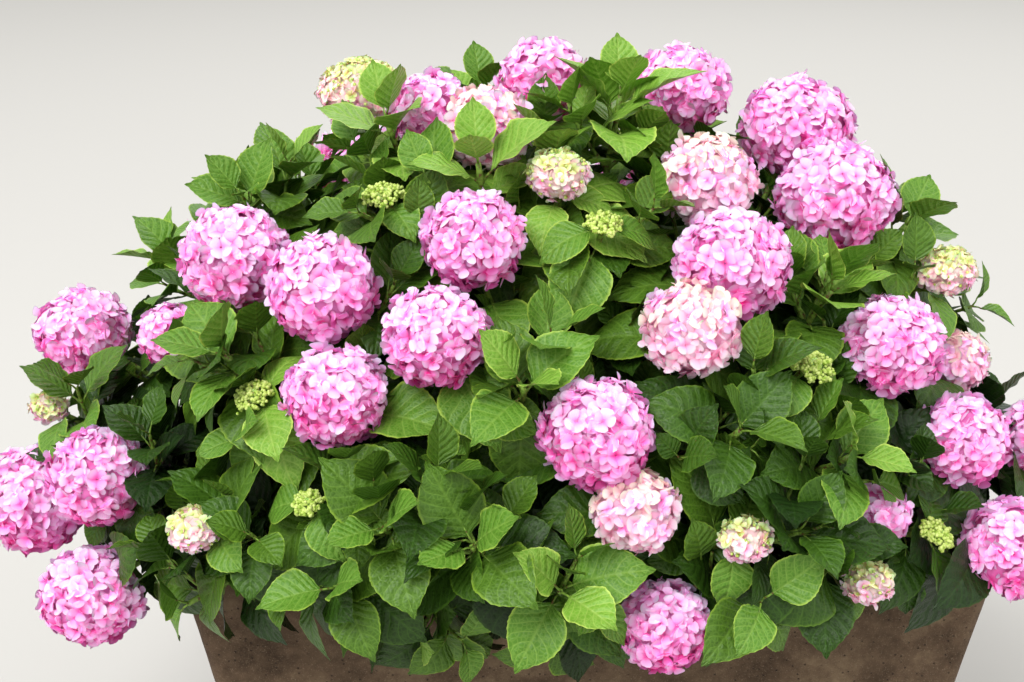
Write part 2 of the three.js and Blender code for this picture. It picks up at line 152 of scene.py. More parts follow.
def leafMaterial(name, blade, vein, edge):
    material, tree, shader = newMaterial(name, leafFinish)
    where = addNode(tree, "TexCoord", {}, []).outputs["Object"]
    uv = addNode(tree, "UVMap", {"uv_map": "blade"}, [])
    parts = addNode(tree, "SeparateXYZ", {}, [uv])
    # how far out from the midrib, 1 at the edge
    offset = addNode(tree, "Math", {"operation": "SUBTRACT"}, [parts.outputs["Y"], 0.5])
    side = addNode(tree, "Math", {"operation": "ABSOLUTE"}, [offset])
    across = addNode(tree, "Math", {"operation": "MULTIPLY"}, [side, 2.0])
    # side veins that slant forward and waver
    slant = addNode(tree, "Math", {"operation": "MULTIPLY"}, [across, leafFinish["veinSlant"]])
    order = addNode(tree, "Math", {"operation": "MULTIPLY"}, [parts.outputs["X"], leafFinish["sideVeins"]])
    phase = addNode(tree, "Math", {"operation": "SUBTRACT"}, [order, slant])
    bends = addNode(tree, "TexNoise", {},
                    {"Vector": where, "Scale": 1000 / leafFinish["waverSize"], "Detail": 1.0})
    wavering = addNode(tree, "Math", {"operation": "MULTIPLY_ADD"}, [bends, leafFinish["waver"], phase])
    between = addNode(tree, "Math", {"operation": "PINGPONG"}, [wavering, 0.5])
    sideVein = addNode(tree, "MapRange", {}, [between, *leafFinish["veinFade"], 1.0, 0.0])
    midrib = addNode(tree, "MapRange", {}, [across, *leafFinish["ribFade"], 1.0, 0.0])
    net = addNode(tree, "TexVoronoi", {"feature": "DISTANCE_TO_EDGE"},
                  {"Vector": where, "Scale": 1000 / leafFinish["netSize"]})
    netVein = addNode(tree, "MapRange", {}, [net, *leafFinish["netFade"], leafFinish["netShare"], 0.0])
    bigVeins = addNode(tree, "Math", {"operation": "MAXIMUM"}, [sideVein, midrib])
    veins = addNode(tree, "Math", {"operation": "MAXIMUM"}, [bigVeins, netVein])
    veinShare = addNode(tree, "Math", {"operation": "MULTIPLY"}, [veins, leafFinish["veinShare"]])
    margin = addNode(tree, "MapRange", {},
                     [across, leafFinish["edgeFrom"], 1.0, 0.0, leafFinish["edgeShare"]])
    mottle = addNode(tree, "TexNoise", {},
                     {"Vector": where, "Scale": 1000 / leafFinish["mottle"], "Detail": 3.0})
    dark = hexColour(blade)
    light = tuple(min(1.0, c * leafFinish["light"]) for c in dark[:3]) + (1.0,)
    patches = addNode(tree, "Mix", {"data_type": "RGBA"}, {0: mottle, 6: dark, 7: light})
    veined = addNode(tree, "Mix", {"data_type": "RGBA"},
                     {0: veinShare, 6: patches.outputs[2], 7: hexColour(vein)})
    edged = addNode(tree, "Mix", {"data_type": "RGBA"}, {0: margin, 6: veined.outputs[2], 7: hexColour(edge)})
    # the blade bulges between its veins
    grooveWidth, grooveRise = leafFinish["groove"]
    groove = addNode(tree, "MapRange", {}, [across, 0.0, grooveWidth, 0.0, grooveRise])
    quilt = addNode(tree, "Math", {"operation": "ADD"}, [between, groove])
    netHeight = addNode(tree, "Math", {"operation": "MULTIPLY"}, [net, leafFinish["netRise"]])
    height = addNode(tree, "Math", {"operation": "ADD"}, [quilt, netHeight])
    return finishMaterial(material, shader, edged.outputs[2], height, leafFinish)


leafMaterials = [leafMaterial(name, *colours) for name, colours in leafColours.items()]


# Hydrangea sepal: thin and matt, deeper pink at its claw as painted shade for the recesses between florets,
# and pale along its rim, partly as painted highlight. Light glows through it, so that its shadows stay pink
# and soft.
petalFinish = {
    "roughness": 0.62, "specular": 0.35,
    "glow": 1.0, "glowDepth": 11,       # mm
    "glowTint": (1.0, 0.35, 0.6),
    # painted shade at the claw, and partly painted highlight at the rim
    "stops": (0.1, 0.46, 1.0),          # claw, blade and rim, from the middle of the floret to 1 at its tips
    "uneven": 0.6, "unevenSize": 16.67,  # mm
    "veins": 2.2, "veinWaver": 1.5,
    "bump": 0.4, "depth": 0.5,          # mm
}
# On a ripe head the paler tones stand at the top as painted light, and petalRose and petalDeep stand low and
# sunk as painted shade
petalColours = {
    "petalRose": ("#e53d9a", "#e88bcb", "#f1b5e3"),
    "petalPink": ("#ea4fa6", "#e997d4", "#f3c2ea"),
    "petalSoft": ("#f07fc4", "#f5bcec", "#f9d9f7"),
    "petalBlush": ("#ee8cb4", "#f3c2da", "#f9deea"),
    "petalCream": ("#e6a8b4", "#f2d5d2", "#f8ecda"),
    "petalGreen": ("#a6ba54", "#cfdc8a", "#eef2c6"),
    "petalDeep": ("#dc2489", "#e460b3", "#ee8fcf"),
}
petalNames = list(petalColours)


def petalMaterial(name, *colours):
    material, tree, shader = newMaterial(name, petalFinish)
    where = addNode(tree, "TexCoord", {}, []).outputs["Object"]
    uv = addNode(tree, "UVMap", {"uv_map": "blade"}, [])
    parts = addNode(tree, "SeparateXYZ", {}, [uv])
    grain = addNode(tree, "TexNoise", {},
                    {"Vector": where, "Scale": 1000 / petalFinish["unevenSize"], "Detail": 2.0})
    shift = addNode(tree, "Math", {"operation": "MULTIPLY_ADD"},
                    [grain, petalFinish["uneven"], -petalFinish["uneven"] / 2])
    uneven = addNode(tree, "Math", {"operation": "ADD"}, [shift, parts.outputs["X"]])
    ramp = addNode(tree, "ValToRGB", {"stops": zip(petalFinish["stops"], colours)}, [uneven])
    shader.subsurface_method = "BURLEY"
    shader.inputs["Subsurface Weight"].default_value = petalFinish["glow"]
    shader.inputs["Subsurface Radius"].default_value = petalFinish["glowTint"]
    shader.inputs["Subsurface Scale"].default_value = petalFinish["glowDepth"] * mm
    veins = addNode(tree, "TexWave", {"wave_type": "BANDS", "bands_direction": "Y"},
                    {"Vector": uv, "Scale": petalFinish["veins"], "Distortion": petalFinish["veinWaver"]})
    return finishMaterial(material, shader, ramp.outputs[0], veins.outputs[1], petalFinish)


petalMaterials = [petalMaterial(name, *colours) for name, colours in petalColours.items()]


# Rind of green stalks, with reddish flecks, and of unopened buds: smooth, young and waxy
rindFinish = {
    "roughness": 0.5, "specular": 0.3,
    "fleck": 4.545,                     # mm
    "stops": (0.36, 0.44, 0.62),
    "bump": 0.3, "depth": 0.3,          # mm
}


def rindMaterial(name, *colours):
    material, tree, shader = newMaterial(name, rindFinish)
    where = addNode(tree, "TexCoord", {}, []).outputs["Object"]
    flecks = addNode(tree, "TexNoise", {},
                     {"Vector": where, "Scale": 1000 / rindFinish["fleck"], "Detail": 2.0})
    ramp = addNode(tree, "ValToRGB", {"stops": zip(rindFinish["stops"], colours)}, [flecks])
    return finishMaterial(material, shader, ramp.outputs[0], flecks, rindFinish)


# Hydrangea bark: buff and grey-brown, flaking in thin lengthwise strips, dry and matt
barkFinish = {
    "roughness": 0.88, "specular": 0.3,
    "strip": 4.167,                     # mm across
    "narrow": 0.22,                     # width of a strip for a length of 1
    "stops": ((0.3, "#46382b"), (0.5, "#84694a"), (0.72, "#b39a74")),
    "bump": 0.8, "depth": 0.8,          # mm
}


def barkMaterial(name):
    material, tree, shader = newMaterial(name, barkFinish)
    where = addNode(tree, "TexCoord", {}, []).outputs["Object"]
    stretch = addNode(tree, "Mapping", {}, {0: where, 3: (1.0, 1.0, barkFinish["narrow"])})
    scale = 1000 / barkFinish["strip"]
    strips = addNode(tree, "TexNoise", {},
                     {"Vector": stretch, "Scale": scale, "Detail": 4.0, "Roughness": 0.65})
    ramp = addNode(tree, "ValToRGB", {"stops": barkFinish["stops"]}, [strips])
    return finishMaterial(material, shader, ramp.outputs[0], strips, barkFinish)


# Cast concrete: brown-grey, weathered, with dark specks of grit, pinholes and damp blotches
concreteFinish = {
    "roughness": 0.92, "specular": 0.3,
    "blotch": 170, "cloud": 36, "grit": 1.8, "speck": 7,        # mm
    "stops": ((0.36, "#382a1d"), (0.5, "#5b4938"), (0.66, "#7f6c54")),
    "speckFade": (0.1, 0.24), "speckFrom": 0.62, "speckShare": 0.75, "speckColour": "#241a12",
    "gritFade": (0.58, 0.72), "gritShare": 0.4, "gritColour": "#8d7c68", "gritRise": 0.45,
    "bump": 0.75, "depth": 1.6,         # mm
}


def concreteMaterial(name):
    material, tree, shader = newMaterial(name, concreteFinish)
    where = addNode(tree, "TexCoord", {}, []).outputs["Object"]
    blotch, cloud, grit = [
        addNode(tree, "TexNoise", {},
                {"Vector": where, "Scale": 1000 / concreteFinish[size], "Detail": detail, "Roughness": rough})
        for size, detail, rough in (("blotch", 5.0, 0.62), ("cloud", 6.0, 0.7), ("grit", 2.0, 0.5))]
    both = addNode(tree, "Mix", {"data_type": "FLOAT"}, {0: 0.5, 2: blotch, 3: cloud})
    ramp = addNode(tree, "ValToRGB", {"stops": concreteFinish["stops"]}, [both])
    specks = addNode(tree, "TexVoronoi", {}, {"Vector": where, "Scale": 1000 / concreteFinish["speck"]})
    speckShape = addNode(tree, "MapRange", {}, [specks, *concreteFinish["speckFade"], 1.0, 0.0])
    speckDraw = addNode(tree, "SeparateColor", {}, [specks.outputs[1]])
    speckSome = addNode(tree, "Math", {"operation": "GREATER_THAN"}, [speckDraw, concreteFinish["speckFrom"]])
    speckPlace = addNode(tree, "Math", {"operation": "MULTIPLY"}, [speckShape, speckSome])
    speckSoft = addNode(tree, "Math", {"operation": "MULTIPLY"}, [speckPlace, concreteFinish["speckShare"]])
    specked = addNode(tree, "Mix", {"data_type": "RGBA"},
                      {0: speckSoft, 6: ramp, 7: hexColour(concreteFinish["speckColour"])})
    gritShare = addNode(tree, "MapRange", {},
                        [grit, *concreteFinish["gritFade"], 0.0, concreteFinish["gritShare"]])
    gritty = addNode(tree, "Mix", {"data_type": "RGBA"},
                     {0: gritShare, 6: specked.outputs[2], 7: hexColour(concreteFinish["gritColour"])})
    pits = addNode(tree, "Math", {"operation": "SUBTRACT"}, [cloud, speckPlace])
    height = addNode(tree, "Math", {"operation": "MULTIPLY_ADD"}, [grit, concreteFinish["gritRise"], pits])
    return finishMaterial(material, shader, gritty.outputs[2], height, concreteFinish)


# Moist potting soil: near black crumbs with flecks of bark and grit
soilFinish = {
    "roughness": 0.96, "specular": 0.25,
    "crumb": 6.25, "fibre": 14.29,      # mm
    "stops": ((0.38, "#17100b"), (0.56, "#2f2118"), (0.7, "#5b4430")),
    "bump": 0.9, "depth": 3,            # mm
}


def soilMaterial(name):
    material, tree, shader = newMaterial(name, soilFinish)
    where = addNode(tree, "TexCoord", {}, []).outputs["Object"]
    crumbs = addNode(tree, "TexVoronoi", {}, {"Vector": where, "Scale": 1000 / soilFinish["crumb"]})
    fibres = addNode(tree, "TexNoise", {},
                     {"Vector": where, "Scale": 1000 / soilFinish["fibre"], "Detail": 5.0})
    ramp = addNode(tree, "ValToRGB", {"stops": soilFinish["stops"]}, [fibres])
    return finishMaterial(material, shader, ramp.outputs[0], crumbs, soilFinish)


stalkRind = rindMaterial("stalkRind", "#5e4526", "#5d7d2c", "#7c9c3c")
budRind = rindMaterial("budRind", "#8fae3c", "#b2c95c", "#d0de86")
flakyBark = barkMaterial("flakyBark")
castConcrete = concreteMaterial("castConcrete")
pottingSoil = soilMaterial("pottingSoil")
print("materials made")


# Small helpers for modelling

# Selects these objects and nothing else, the first as the active one
def selectOnly(*pieces):
    bpy.ops.object.select_all(action="DESELECT")
    for piece in pieces:
        piece.select_set(True)
    if pieces:
        bpy.context.view_layer.objects.active = pieces[0]


def startEdit():
    bpy.ops.object.mode_set(mode="EDIT")
    bpy.context.tool_settings.mesh_select_mode = (True, False, False)
    bpy.ops.mesh.select_all(action="DESELECT")


def endEdit():
    bpy.ops.object.mode_set(mode="OBJECT")


# Selects the vertices whose place answers to a test
def selectWhere(test):
    bpy.ops.mesh.select_all(action="DESELECT")
    shape = bmesh.from_edit_mesh(bpy.context.object.data)
    for v in shape.verts:
        if test(v.co):
            v.select = True
    shape.select_flush(True)
    bmesh.update_edit_mesh(bpy.context.object.data)


# Selects the edges that answer to a test, ready for an edge operator
def selectEdges(test):
    bpy.context.tool_settings.mesh_select_mode = (False, True, False)
    bpy.ops.mesh.select_all(action="DESELECT")
    shape = bmesh.from_edit_mesh(bpy.context.object.data)
    for e in shape.edges:
        e.select = test(e)
    bmesh.update_edit_mesh(bpy.context.object.data)


def riseOf(edge):
    return abs(edge.verts[0].co.z - edge.verts[1].co.z)


def applyPlace(piece):
    selectOnly(piece)
    bpy.ops.object.transform_apply(location=True, rotation=True, scale=True)


# Raises a surface by soft noise, with a strength for each size of it
def addRelief(piece, relief, middle=0.5, group=""):
    bpy.context.view_layer.objects.active = piece
    for size, strength in relief.items():
        noise = bpy.data.textures.new(piece.name + "Relief", "CLOUDS")
        noise.noise_scale = size * mm
        modifier = piece.modifiers.new("relief", "DISPLACE")
        modifier.texture = noise
        modifier.texture_coords = "LOCAL"
        modifier.strength = strength * mm
        modifier.mid_level = middle
        modifier.vertex_group = group
        bpy.ops.object.modifier_apply(modifier="relief")


def finishPiece(piece, slot, *nodes):
    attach(piece, "root")
    if nodes:
        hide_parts(*nodes)


# Trough: one block drawn in towards its foot, with the hollow sunk from its top and its edges rounded
trough = {
    "length": 1000, "width": 430, "height": 420,
    "endLean": 85, "sideLean": 50,      # how far the foot is drawn in
    "wall": 38, "floor": 45,
    "corner": 22, "cornerSteps": 6,
    "edge": 5, "edgeSteps": 3,
    "sharp": 0.8,                       # radians between two faces whose edge is rounded
    "grid": 24, "gridFrom": 150,        # cuts along each edge longer than this, to carry the relief
    "relief": {70: 1.6, 14: 0.7},
    "smooth": 40,                       # degrees
}


# What is left of a width at a level, as the sides lean in below the rim
def leanShares(level):
    below = (trough["height"] - level) / trough["height"]
    shareX = 1 - trough["endLean"] * below / (trough["length"] / 2)
    shareY = 1 - trough["sideLean"] * below / (trough["width"] / 2)
    return shareX, shareY, 1


def makeTrough():
    selectOnly()
    length, width, height, floor = [trough[k] * mm for k in ("length", "width", "height", "floor")]
    bpy.ops.mesh.primitive_cube_add(size=1, location=(0, 0, height / 2), scale=(length, width, height))
    piece = bpy.context.object
    piece.name = "concreteTrough"
    applyPlace(piece)
    startEdit()
    selectEdges(lambda e: riseOf(e) > height / 2)
    bpy.ops.mesh.bevel(offset=trough["corner"] * mm, segments=trough["cornerSteps"], affect="EDGES")
    # the rim and the hollow, from the top face
    bpy.context.tool_settings.mesh_select_mode = (True, False, False)
    selectWhere(lambda co: co.z > height - near)
    bpy.ops.mesh.extrude_region_move()
    wall = trough["wall"] * mm
    bpy.ops.transform.resize(value=(1 - 2 * wall / length, 1 - 2 * wall / width, 1),
                             center_override=(0, 0, height))
    bpy.ops.mesh.extrude_region_move(TRANSFORM_OT_translate={"value": (0, 0, floor - height)})
    bpy.ops.transform.resize(value=leanShares(trough["floor"]), center_override=(0, 0, floor))
    selectWhere(lambda co: co.z < near)
    bpy.ops.transform.resize(value=leanShares(0), center_override=(0, 0, 0))
    # round the rim's two edges and the foot's edge
    selectEdges(lambda e: all(round(v.co.z / mm) in (0, trough["height"]) for v in e.verts)
                and riseOf(e) < mm and e.calc_face_angle(0) > trough["sharp"])
    bpy.ops.mesh.bevel(offset=trough["edge"] * mm, segments=trough["edgeSteps"], affect="EDGES")
    selectEdges(lambda e: e.calc_length() > trough["gridFrom"] * mm)
    bpy.ops.mesh.subdivide(number_cuts=trough["grid"])
    endEdit()
    addRelief(piece, trough["relief"])
    bpy.ops.object.shade_smooth_by_angle(angle=math.radians(trough["smooth"]))
    piece.data.materials.append(castConcrete)
    return piece


finishPiece(makeTrough(), "stone", "planter_trough")
print("trough made")


# Soil: fills the trough to below its rim, with a lumpy top
soil = {
    "belowRim": 45,
    "gap": 0.6,                         # to the walls and the floor
    "grid": 40,
    "lumps": 14, "lumpSize": 55, "crumbs": 5, "crumbSize": 14,
    "middle": 0.3, "lumpyWidth": 0.44,
    "smooth": 60,                       # degrees
}
soilLevel = trough["height"] - soil["belowRim"]


def makeSoil():
    selectOnly()
    inset = trough["wall"] + soil["gap"]
    length, width = (trough["length"] - 2 * inset) * mm, (trough["width"] - 2 * inset) * mm
    floor, level = (trough["floor"] + soil["gap"]) * mm, (soilLevel - soil["lumps"] / 2) * mm
    bpy.ops.mesh.primitive_cube_add(size=1, location=(0, 0, (floor + level) / 2),
                                    scale=(length, width, level - floor))
    piece = bpy.context.object
    piece.name = "pottingSoil"
    applyPlace(piece)
    startEdit()
    for low, height in ((True, trough["floor"]), (False, soilLevel)):
        selectWhere(lambda co: (co.z < (floor + level) / 2) == low)
        bpy.ops.transform.resize(value=leanShares(height), center_override=(0, 0, 0))
    selectEdges(lambda e: e.verts[0].co.z > floor + mm and e.verts[1].co.z > floor + mm)
    bpy.ops.mesh.subdivide(number_cuts=soil["grid"])
    endEdit()
    # only the top is lumpy, so that the sides stay within the walls
    top = piece.vertex_groups.new(name="top")
    inside = [v.index for v in piece.data.vertices
              if v.co.z > floor + mm and abs(v.co.y) < width * soil["lumpyWidth"]]
    top.add(inside, 1.0, "REPLACE")
    relief = {soil["lumpSize"]: soil["lumps"], soil["crumbSize"]: soil["crumbs"]}
    addRelief(piece, relief, soil["middle"], "top")
    bpy.ops.object.shade_smooth_by_angle(angle=math.radians(soil["smooth"]))
    piece.data.materials.append(pottingSoil)
    return piece


finishPiece(makeSoil(), "soil", "soil")
print("soil made")


# Growing rule: the same seeded rule that sets the masses of the plant, its stems and its twigs

massSeed = 11
crownMiddle = np.array([-55.0, 0.0, 530.0])
# the powers set how square the crown's outline is above and below its middle
crown = {"halfLength": 690, "halfDepth": 470, "rise": 520, "drop": 215, "upperPower": 1.6, "lowerPower": 2.5}
stool = {"halfLength": 170, "halfWidth": 105, "height": 72, "topShare": 0.8, "lobes": 7, "lobeDepth": 0.06,
         "lobeHalf": 0.24, "rings": 8, "closing": (0.8, 0.75, 0.66, 0.5)}
clearance = 0.3
stoolTop = soilLevel + clearance + stool["height"]
# feet are shares of the stool's half widths, the hub is where a mass branches, its twigs begin at share
stem = {"footRadius": 9.5, "tipRadius": 5.5, "share": 0.72, "feetInner": 0.13, "feetOuter": 0.62,
        "along": 0.3, "climb": 0.6, "arch": 0.12, "hubShare": 0.62, "hubOverRim": 75}
# a twig leaves its stem between first and last of the rest of it, and turns outward and upward before its end
twig = {"radius": 4.2, "tipRadius": 3.2, "outward": 0.7, "upward": 0.45, "bend": 0.42, "overRim": 45,
        "first": 0.06, "last": 0.98}
# Heads and leafy shoots that the photograph doesn't set: candidates on a spiral round the crown, from a
# lowest to a highest level of it, kept where they stand far enough from the others
spiral = {"turn": 137.508, "spread": 0.05}     # degrees, and how unevenly far out
hiddenHeads = {"candidates": 150, "lowest": -0.12, "highest": 0.97, "spacing": 182, "from": 30, "reach": 0.88,
               "offTrough": 10}
bareShoulder = {"left": -330, "above": 800}    # no head here: the left side falls away under leaves
sprays = {"candidates": 420, "lowest": -0.46, "highest": 0.97, "spacing": 120, "reach": 0.86,
          "offTrough": 70, "overTrough": 32, "rimZone": 15,     # room to the trough, up to rimZone and above
          "headShare": 6}
headKinds = {"ripe": (0.62, 108), "pale": (0.18, 100), "opening": (0.12, 60), "bud": (0.08, 40)}
headWidthSpread = 24

# Shoots of the masses that are seen: kind, width of the head, and the place of head or tip
seenMasses = {
    "left_end": [
        ("ripe", 140, -690, -120, 480), ("ripe", 125, -585, -215, 550), ("opening", 50, -665, -110, 600),
        ("ripe", 125, -640, -15, 665), ("ripe", 130, -600, -225, 400)],
    "left_shoulder": [
        ("ripe", 135, -415, -170, 805), ("ripe", 130, -305, -255, 795), ("ripe", 85, -500, -145, 705),
        ("leafy", 0, -415, -285, 725)],
    "front_left": [
        ("ripe", 120, -285, -335, 695), ("bud", 42, -380, -320, 695), ("bud", 32, -315, -390, 595),
        ("opening", 65, -445, -355, 545), ("leafy", 0, -465, -320, 435), ("leafy", 0, -230, -420, 575),
        ("leafy", 0, -285, -410, 500)],
    "upper_left": [
        ("ripe", 120, -135, -250, 850), ("ripe", 120, -175, -325, 760), ("leafy", 0, -80, -375, 720)],
    "front_middle": [
        ("ripe", 130, 0, -380, 670), ("pale", 100, 40, -405, 590), ("leafy", 0, -135, -435, 560),
        ("leafy", 0, -40, -440, 510), ("ripe", 110, 75, -400, 450), ("opening", 60, 160, -415, 560),
        ("leafy", 0, 180, -410, 485)],
    "upper_right": [
        ("pale", 115, 105, -310, 765), ("ripe", 135, 155, -245, 820), ("pale", 120, 135, -160, 895),
        ("leafy", 0, 155, -375, 670)],
    "top_left": [
        ("opening", 110, -280, 35, 965), ("bud", 45, -240, -200, 895), ("ripe", 105, -190, -70, 960),
        ("leafy", 0, -130, -200, 925), ("pale", 110, -120, -120, 950),
        ("leafy", 0, -240, -110, 960)],
    "top_middle": [
        ("ripe", 115, -55, -35, 990), ("ripe", 120, 120, 30, 970), ("leafy", 0, 35, -100, 985),
        ("opening", 75, -40, -210, 915), ("bud", 40, 10, -255, 875)],
    "top_right": [
        ("ripe", 145, 265, 25, 920), ("ripe", 150, 300, -75, 855), ("leafy", 0, 390, -65, 820),
        ("opening", 75, 435, -95, 770)],
    "right_end": [
        ("ripe", 125, 345, -230, 720), ("pale", 85, 455, -100, 655), ("ripe", 115, 435, -235, 605),
        ("ripe", 125, 490, -285, 490), ("ripe", 115, 575, -80, 545), ("bud", 40, 395, -315, 525),
        ("leafy", 0, 275, -215, 780)],
    "front_right": [
        ("ripe", 80, 325, -305, 540), ("opening", 60, 305, -365, 485), ("leafy", 0, 220, -395, 560),
        ("leafy", 0, 280, -350, 630), ("bud", 50, 240, -315, 730)],
}
# Masses behind: bearing and rise of the middle of each, in degrees
hiddenMasses = {
    "back_left_end": (-112, 12), "back_left": (-148, 14), "back_middle": (176, 14), "back_right": (143, 14),
    "back_right_end": (108, 12), "upper_back_left": (-135, 50), "upper_back_right": (142, 50),
}


# Even draws from 0 to 1, in an order that the seed sets
def drawer(seed):
    times, plus, span = 1664525, 1013904223, 2**32
    state = [seed]

    def draw():
        state[0] = (state[0] * times + plus) % span
        return state[0] / span

    return draw


def length(v):
    return float(np.sqrt((v * v).sum()))


def unit(v):
    return v / max(length(v), 1e-9)


def direction(bearing, rise):
    b, r = math.radians(bearing), math.radians(rise)
    return np.array([math.sin(b) * math.cos(r), -math.cos(b) * math.cos(r), math.sin(r)])


# One value of every row, as an array
def gather(rows, key):
    return np.array([row[key] for row in rows])


# How far places lie from the middle of the crown, where 1 is its outer surface
def reachOf(places):
    d = places - crownMiddle
    across = np.hypot(d[..., 0] / crown["halfLength"], d[..., 1] / crown["halfDepth"])
    above = d[..., 2] > 0
    power = np.where(above, crown["upperPower"], crown["lowerPower"])
    along = np.abs(d[..., 2]) / np.where(above, crown["rise"], crown["drop"])
    return (across**power + along**power) ** (1 / power)


def crownPlace(outward, reach):
    return crownMiddle + outward * reach / reachOf(crownMiddle + outward)


def crownSpiral(rule, draw):
    places = []
    for i in range(rule["candidates"]):
        sine = rule["lowest"] + (rule["highest"] - rule["lowest"]) * (i + 0.5) / rule["candidates"]
        outward = direction(i * spiral["turn"], math.degrees(math.asin(sine)))
        places.append(crownPlace(outward, rule["reach"] + spiral["spread"] * draw()))
    return places


def insideTrough(places, room):
    x = np.abs(places[..., 0]) < trough["length"] / 2 + room
    y = np.abs(places[..., 1]) < trough["width"] / 2 + room
    return x & y & (places[..., 2] < trough["height"] + room)


def drawnKind(draw):
    left = draw()
    for kind, (share, _) in headKinds.items():
        if left < share:
            return kind
        left -= share
    return "bud"


def shootAt(kind, width, place):
    return {"kind": kind, "width": width, "place": np.array(place, float)}


def plantMasses():
    draw = drawer(massSeed)
    masses = []
    for name, rows in seenMasses.items():
        shoots = [shootAt(kind, width, place) for kind, width, *place in rows]
        masses.append({"name": name, "shoots": shoots, "middle": np.mean(gather(shoots, "place"), axis=0)})
    for name, (bearing, rise) in hiddenMasses.items():
        middle = crownPlace(direction(bearing, rise), hiddenHeads["reach"])
        masses.append({"name": name, "shoots": [], "middle": middle})
    for place in crownSpiral(hiddenHeads, draw):
        kind = drawnKind(draw)
        width = headKinds[kind][1] + math.floor(draw() * headWidthSpread + 0.5)
        if place[1] < hiddenHeads["from"] or insideTrough(place, width / 2 + hiddenHeads["offTrough"]):
            continue
        if place[0] < bareShoulder["left"] and place[2] > bareShoulder["above"]:
            continue
        heads = [s for m in masses for s in m["shoots"] if s["width"] > 0]
        if any(length(s["place"] - place) < hiddenHeads["spacing"] for s in heads):
            continue
        nearest = min(masses, key=lambda m: length(m["middle"] - place))
        nearest["shoots"].append(shootAt(kind, width, place))
    for place in crownSpiral(sprays, draw):
        low = place[2] < trough["height"] + sprays["rimZone"]
        if insideTrough(place, sprays["offTrough"] if low else sprays["overTrough"]):
            continue
        gaps = [min((length(s["place"] - place) - s["width"] / sprays["headShare"] for s in m["shoots"]),
                    default=math.inf) for m in masses]
        least = min(gaps)
        if least > sprays["spacing"]:
            masses[gaps.index(least)]["shoots"].append(shootAt("leafy", 0, place))
    return masses


# A bend is a start, a turning place and an end
def bendPoint(bend, t):
    a, b, c = bend
    t = np.asarray(t, float)[..., None]
    return (1 - t) ** 2 * a + 2 * (1 - t) * t * b + t**2 * c


def bendWay(bend, t):
    a, b, c = bend
    return unit((1 - t) * (b - a) + t * (c - b))


def bendLength(bend, places=25):
    steps = np.diff(bendPoint(bend, np.linspace(0, 1, places)), axis=0)
    return float(np.sqrt((steps**2).sum(axis=1)).sum())


def placeStem(mass):
    outward = np.mean(gather(mass["shoots"], "place"), axis=0) - crownMiddle
    hub = crownMiddle + outward * stem["hubShare"]
    hub[2] = max(hub[2], trough["height"] + stem["hubOverRim"])
    level = np.array([outward[0] / crown["halfLength"], outward[1] / crown["halfDepth"]])
    reach = min(stem["feetOuter"], stem["feetInner"] + stem["feetOuter"] * length(level))
    level = unit(level) * reach
    foot = np.array([level[0] * stool["halfLength"], level[1] * stool["halfWidth"], stoolTop + clearance])
    turn = foot + (hub - foot) * stem["along"]
    run = math.hypot(hub[0] - foot[0], hub[1] - foot[1])
    turn[2] = foot[2] + (hub[2] - foot[2]) * stem["climb"] + run * stem["arch"]
    mass["stem"] = (foot, turn, hub)


def placeTwigs(mass):
    inside = 1 - stem["share"]
    for i, shoot in enumerate(mass["shoots"]):
        order = i / max(1, len(mass["shoots"]) - 1)
        along = twig["first"] + (twig["last"] - twig["first"]) * order
        start = bendPoint(mass["stem"], stem["share"] + inside * along)
        ahead = unit(unit(shoot["place"] - crownMiddle) * twig["outward"] + up * twig["upward"])
        middle = shoot["place"] - ahead * twig["bend"] * length(shoot["place"] - start)
        middle[2] = max(middle[2], trough["height"] + twig["overRim"])
        shoot["twig"] = (start, middle, shoot["place"])


masses = plantMasses()
for mass in masses:
    placeStem(mass)
    placeTwigs(mass)
shoots = [s for m in masses for s in m["shoots"]]
heads = [s for s in shoots if s["width"] > 0]
print("growing rule:", len(masses), "masses,", len(heads), "flower heads,", len(shoots), "shoots")


# Woody stool and its stems, with flaky bark in relief
bark = {"sides": 56, "relief": {26: 9, 7: 2.4}, "smooth": 60,
        "caneSides": 4, "caneSteps": 26, "caneRelief": {9: 1.6}, "sunk": 3}


def makeStool():
    selectOnly()
    low, high = (soilLevel + clearance) * mm, stoolTop * mm
    bpy.ops.mesh.primitive_cylinder_add(vertices=bark["sides"], radius=1, depth=high - low,
                                        location=(0, 0, (low + high) / 2), end_fill_type="NGON")
    piece = bpy.context.object
    piece.name = "woodyStool"
    piece.scale = (stool["halfLength"] * mm, stool["halfWidth"] * mm, 1)
    applyPlace(piece)
    startEdit()
    rings = stool["rings"]
    selectEdges(lambda e: riseOf(e) > mm)
    bpy.ops.mesh.subdivide(number_cuts=rings - 1)
    bpy.context.tool_settings.mesh_select_mode = (True, False, False)
    for ring in range(rings + 1):
        level = low + (high - low) * ring / rings
        share = stool["topShare"] + (1 - stool["topShare"]) * (1 - ring / rings) ** 2
        selectWhere(lambda co: abs(co.z - level) < near)
        bpy.ops.transform.resize(value=(share, share, 1), center_override=(0, 0, level))
    for lobe in range(stool["lobes"]):
        turn = 2 * math.pi * lobe / stool["lobes"]

        def nearLobe(co):
            around = math.atan2(co.y / stool["halfWidth"], co.x / stool["halfLength"])
            return abs((around - turn + math.pi) % (2 * math.pi) - math.pi) < stool["lobeHalf"]

        selectWhere(nearLobe)
        grown = 1 + stool["lobeDepth"]
        bpy.ops.transform.resize(value=(grown, grown, 1), center_override=(0, 0, low))
    # the top is closed by rings, drawn in to the middle
    selectWhere(lambda co: co.z > high - near)
    for share in stool["closing"]:
        bpy.ops.mesh.extrude_region_move()
        bpy.ops.transform.resize(value=(share, share, 1), center_override=(0, 0, high))
    endEdit()
    addRelief(piece, bark["relief"])
    bpy.ops.object.shade_smooth_by_angle(angle=math.radians(bark["smooth"]))
    piece.data.materials.append(flakyBark)
    return piece


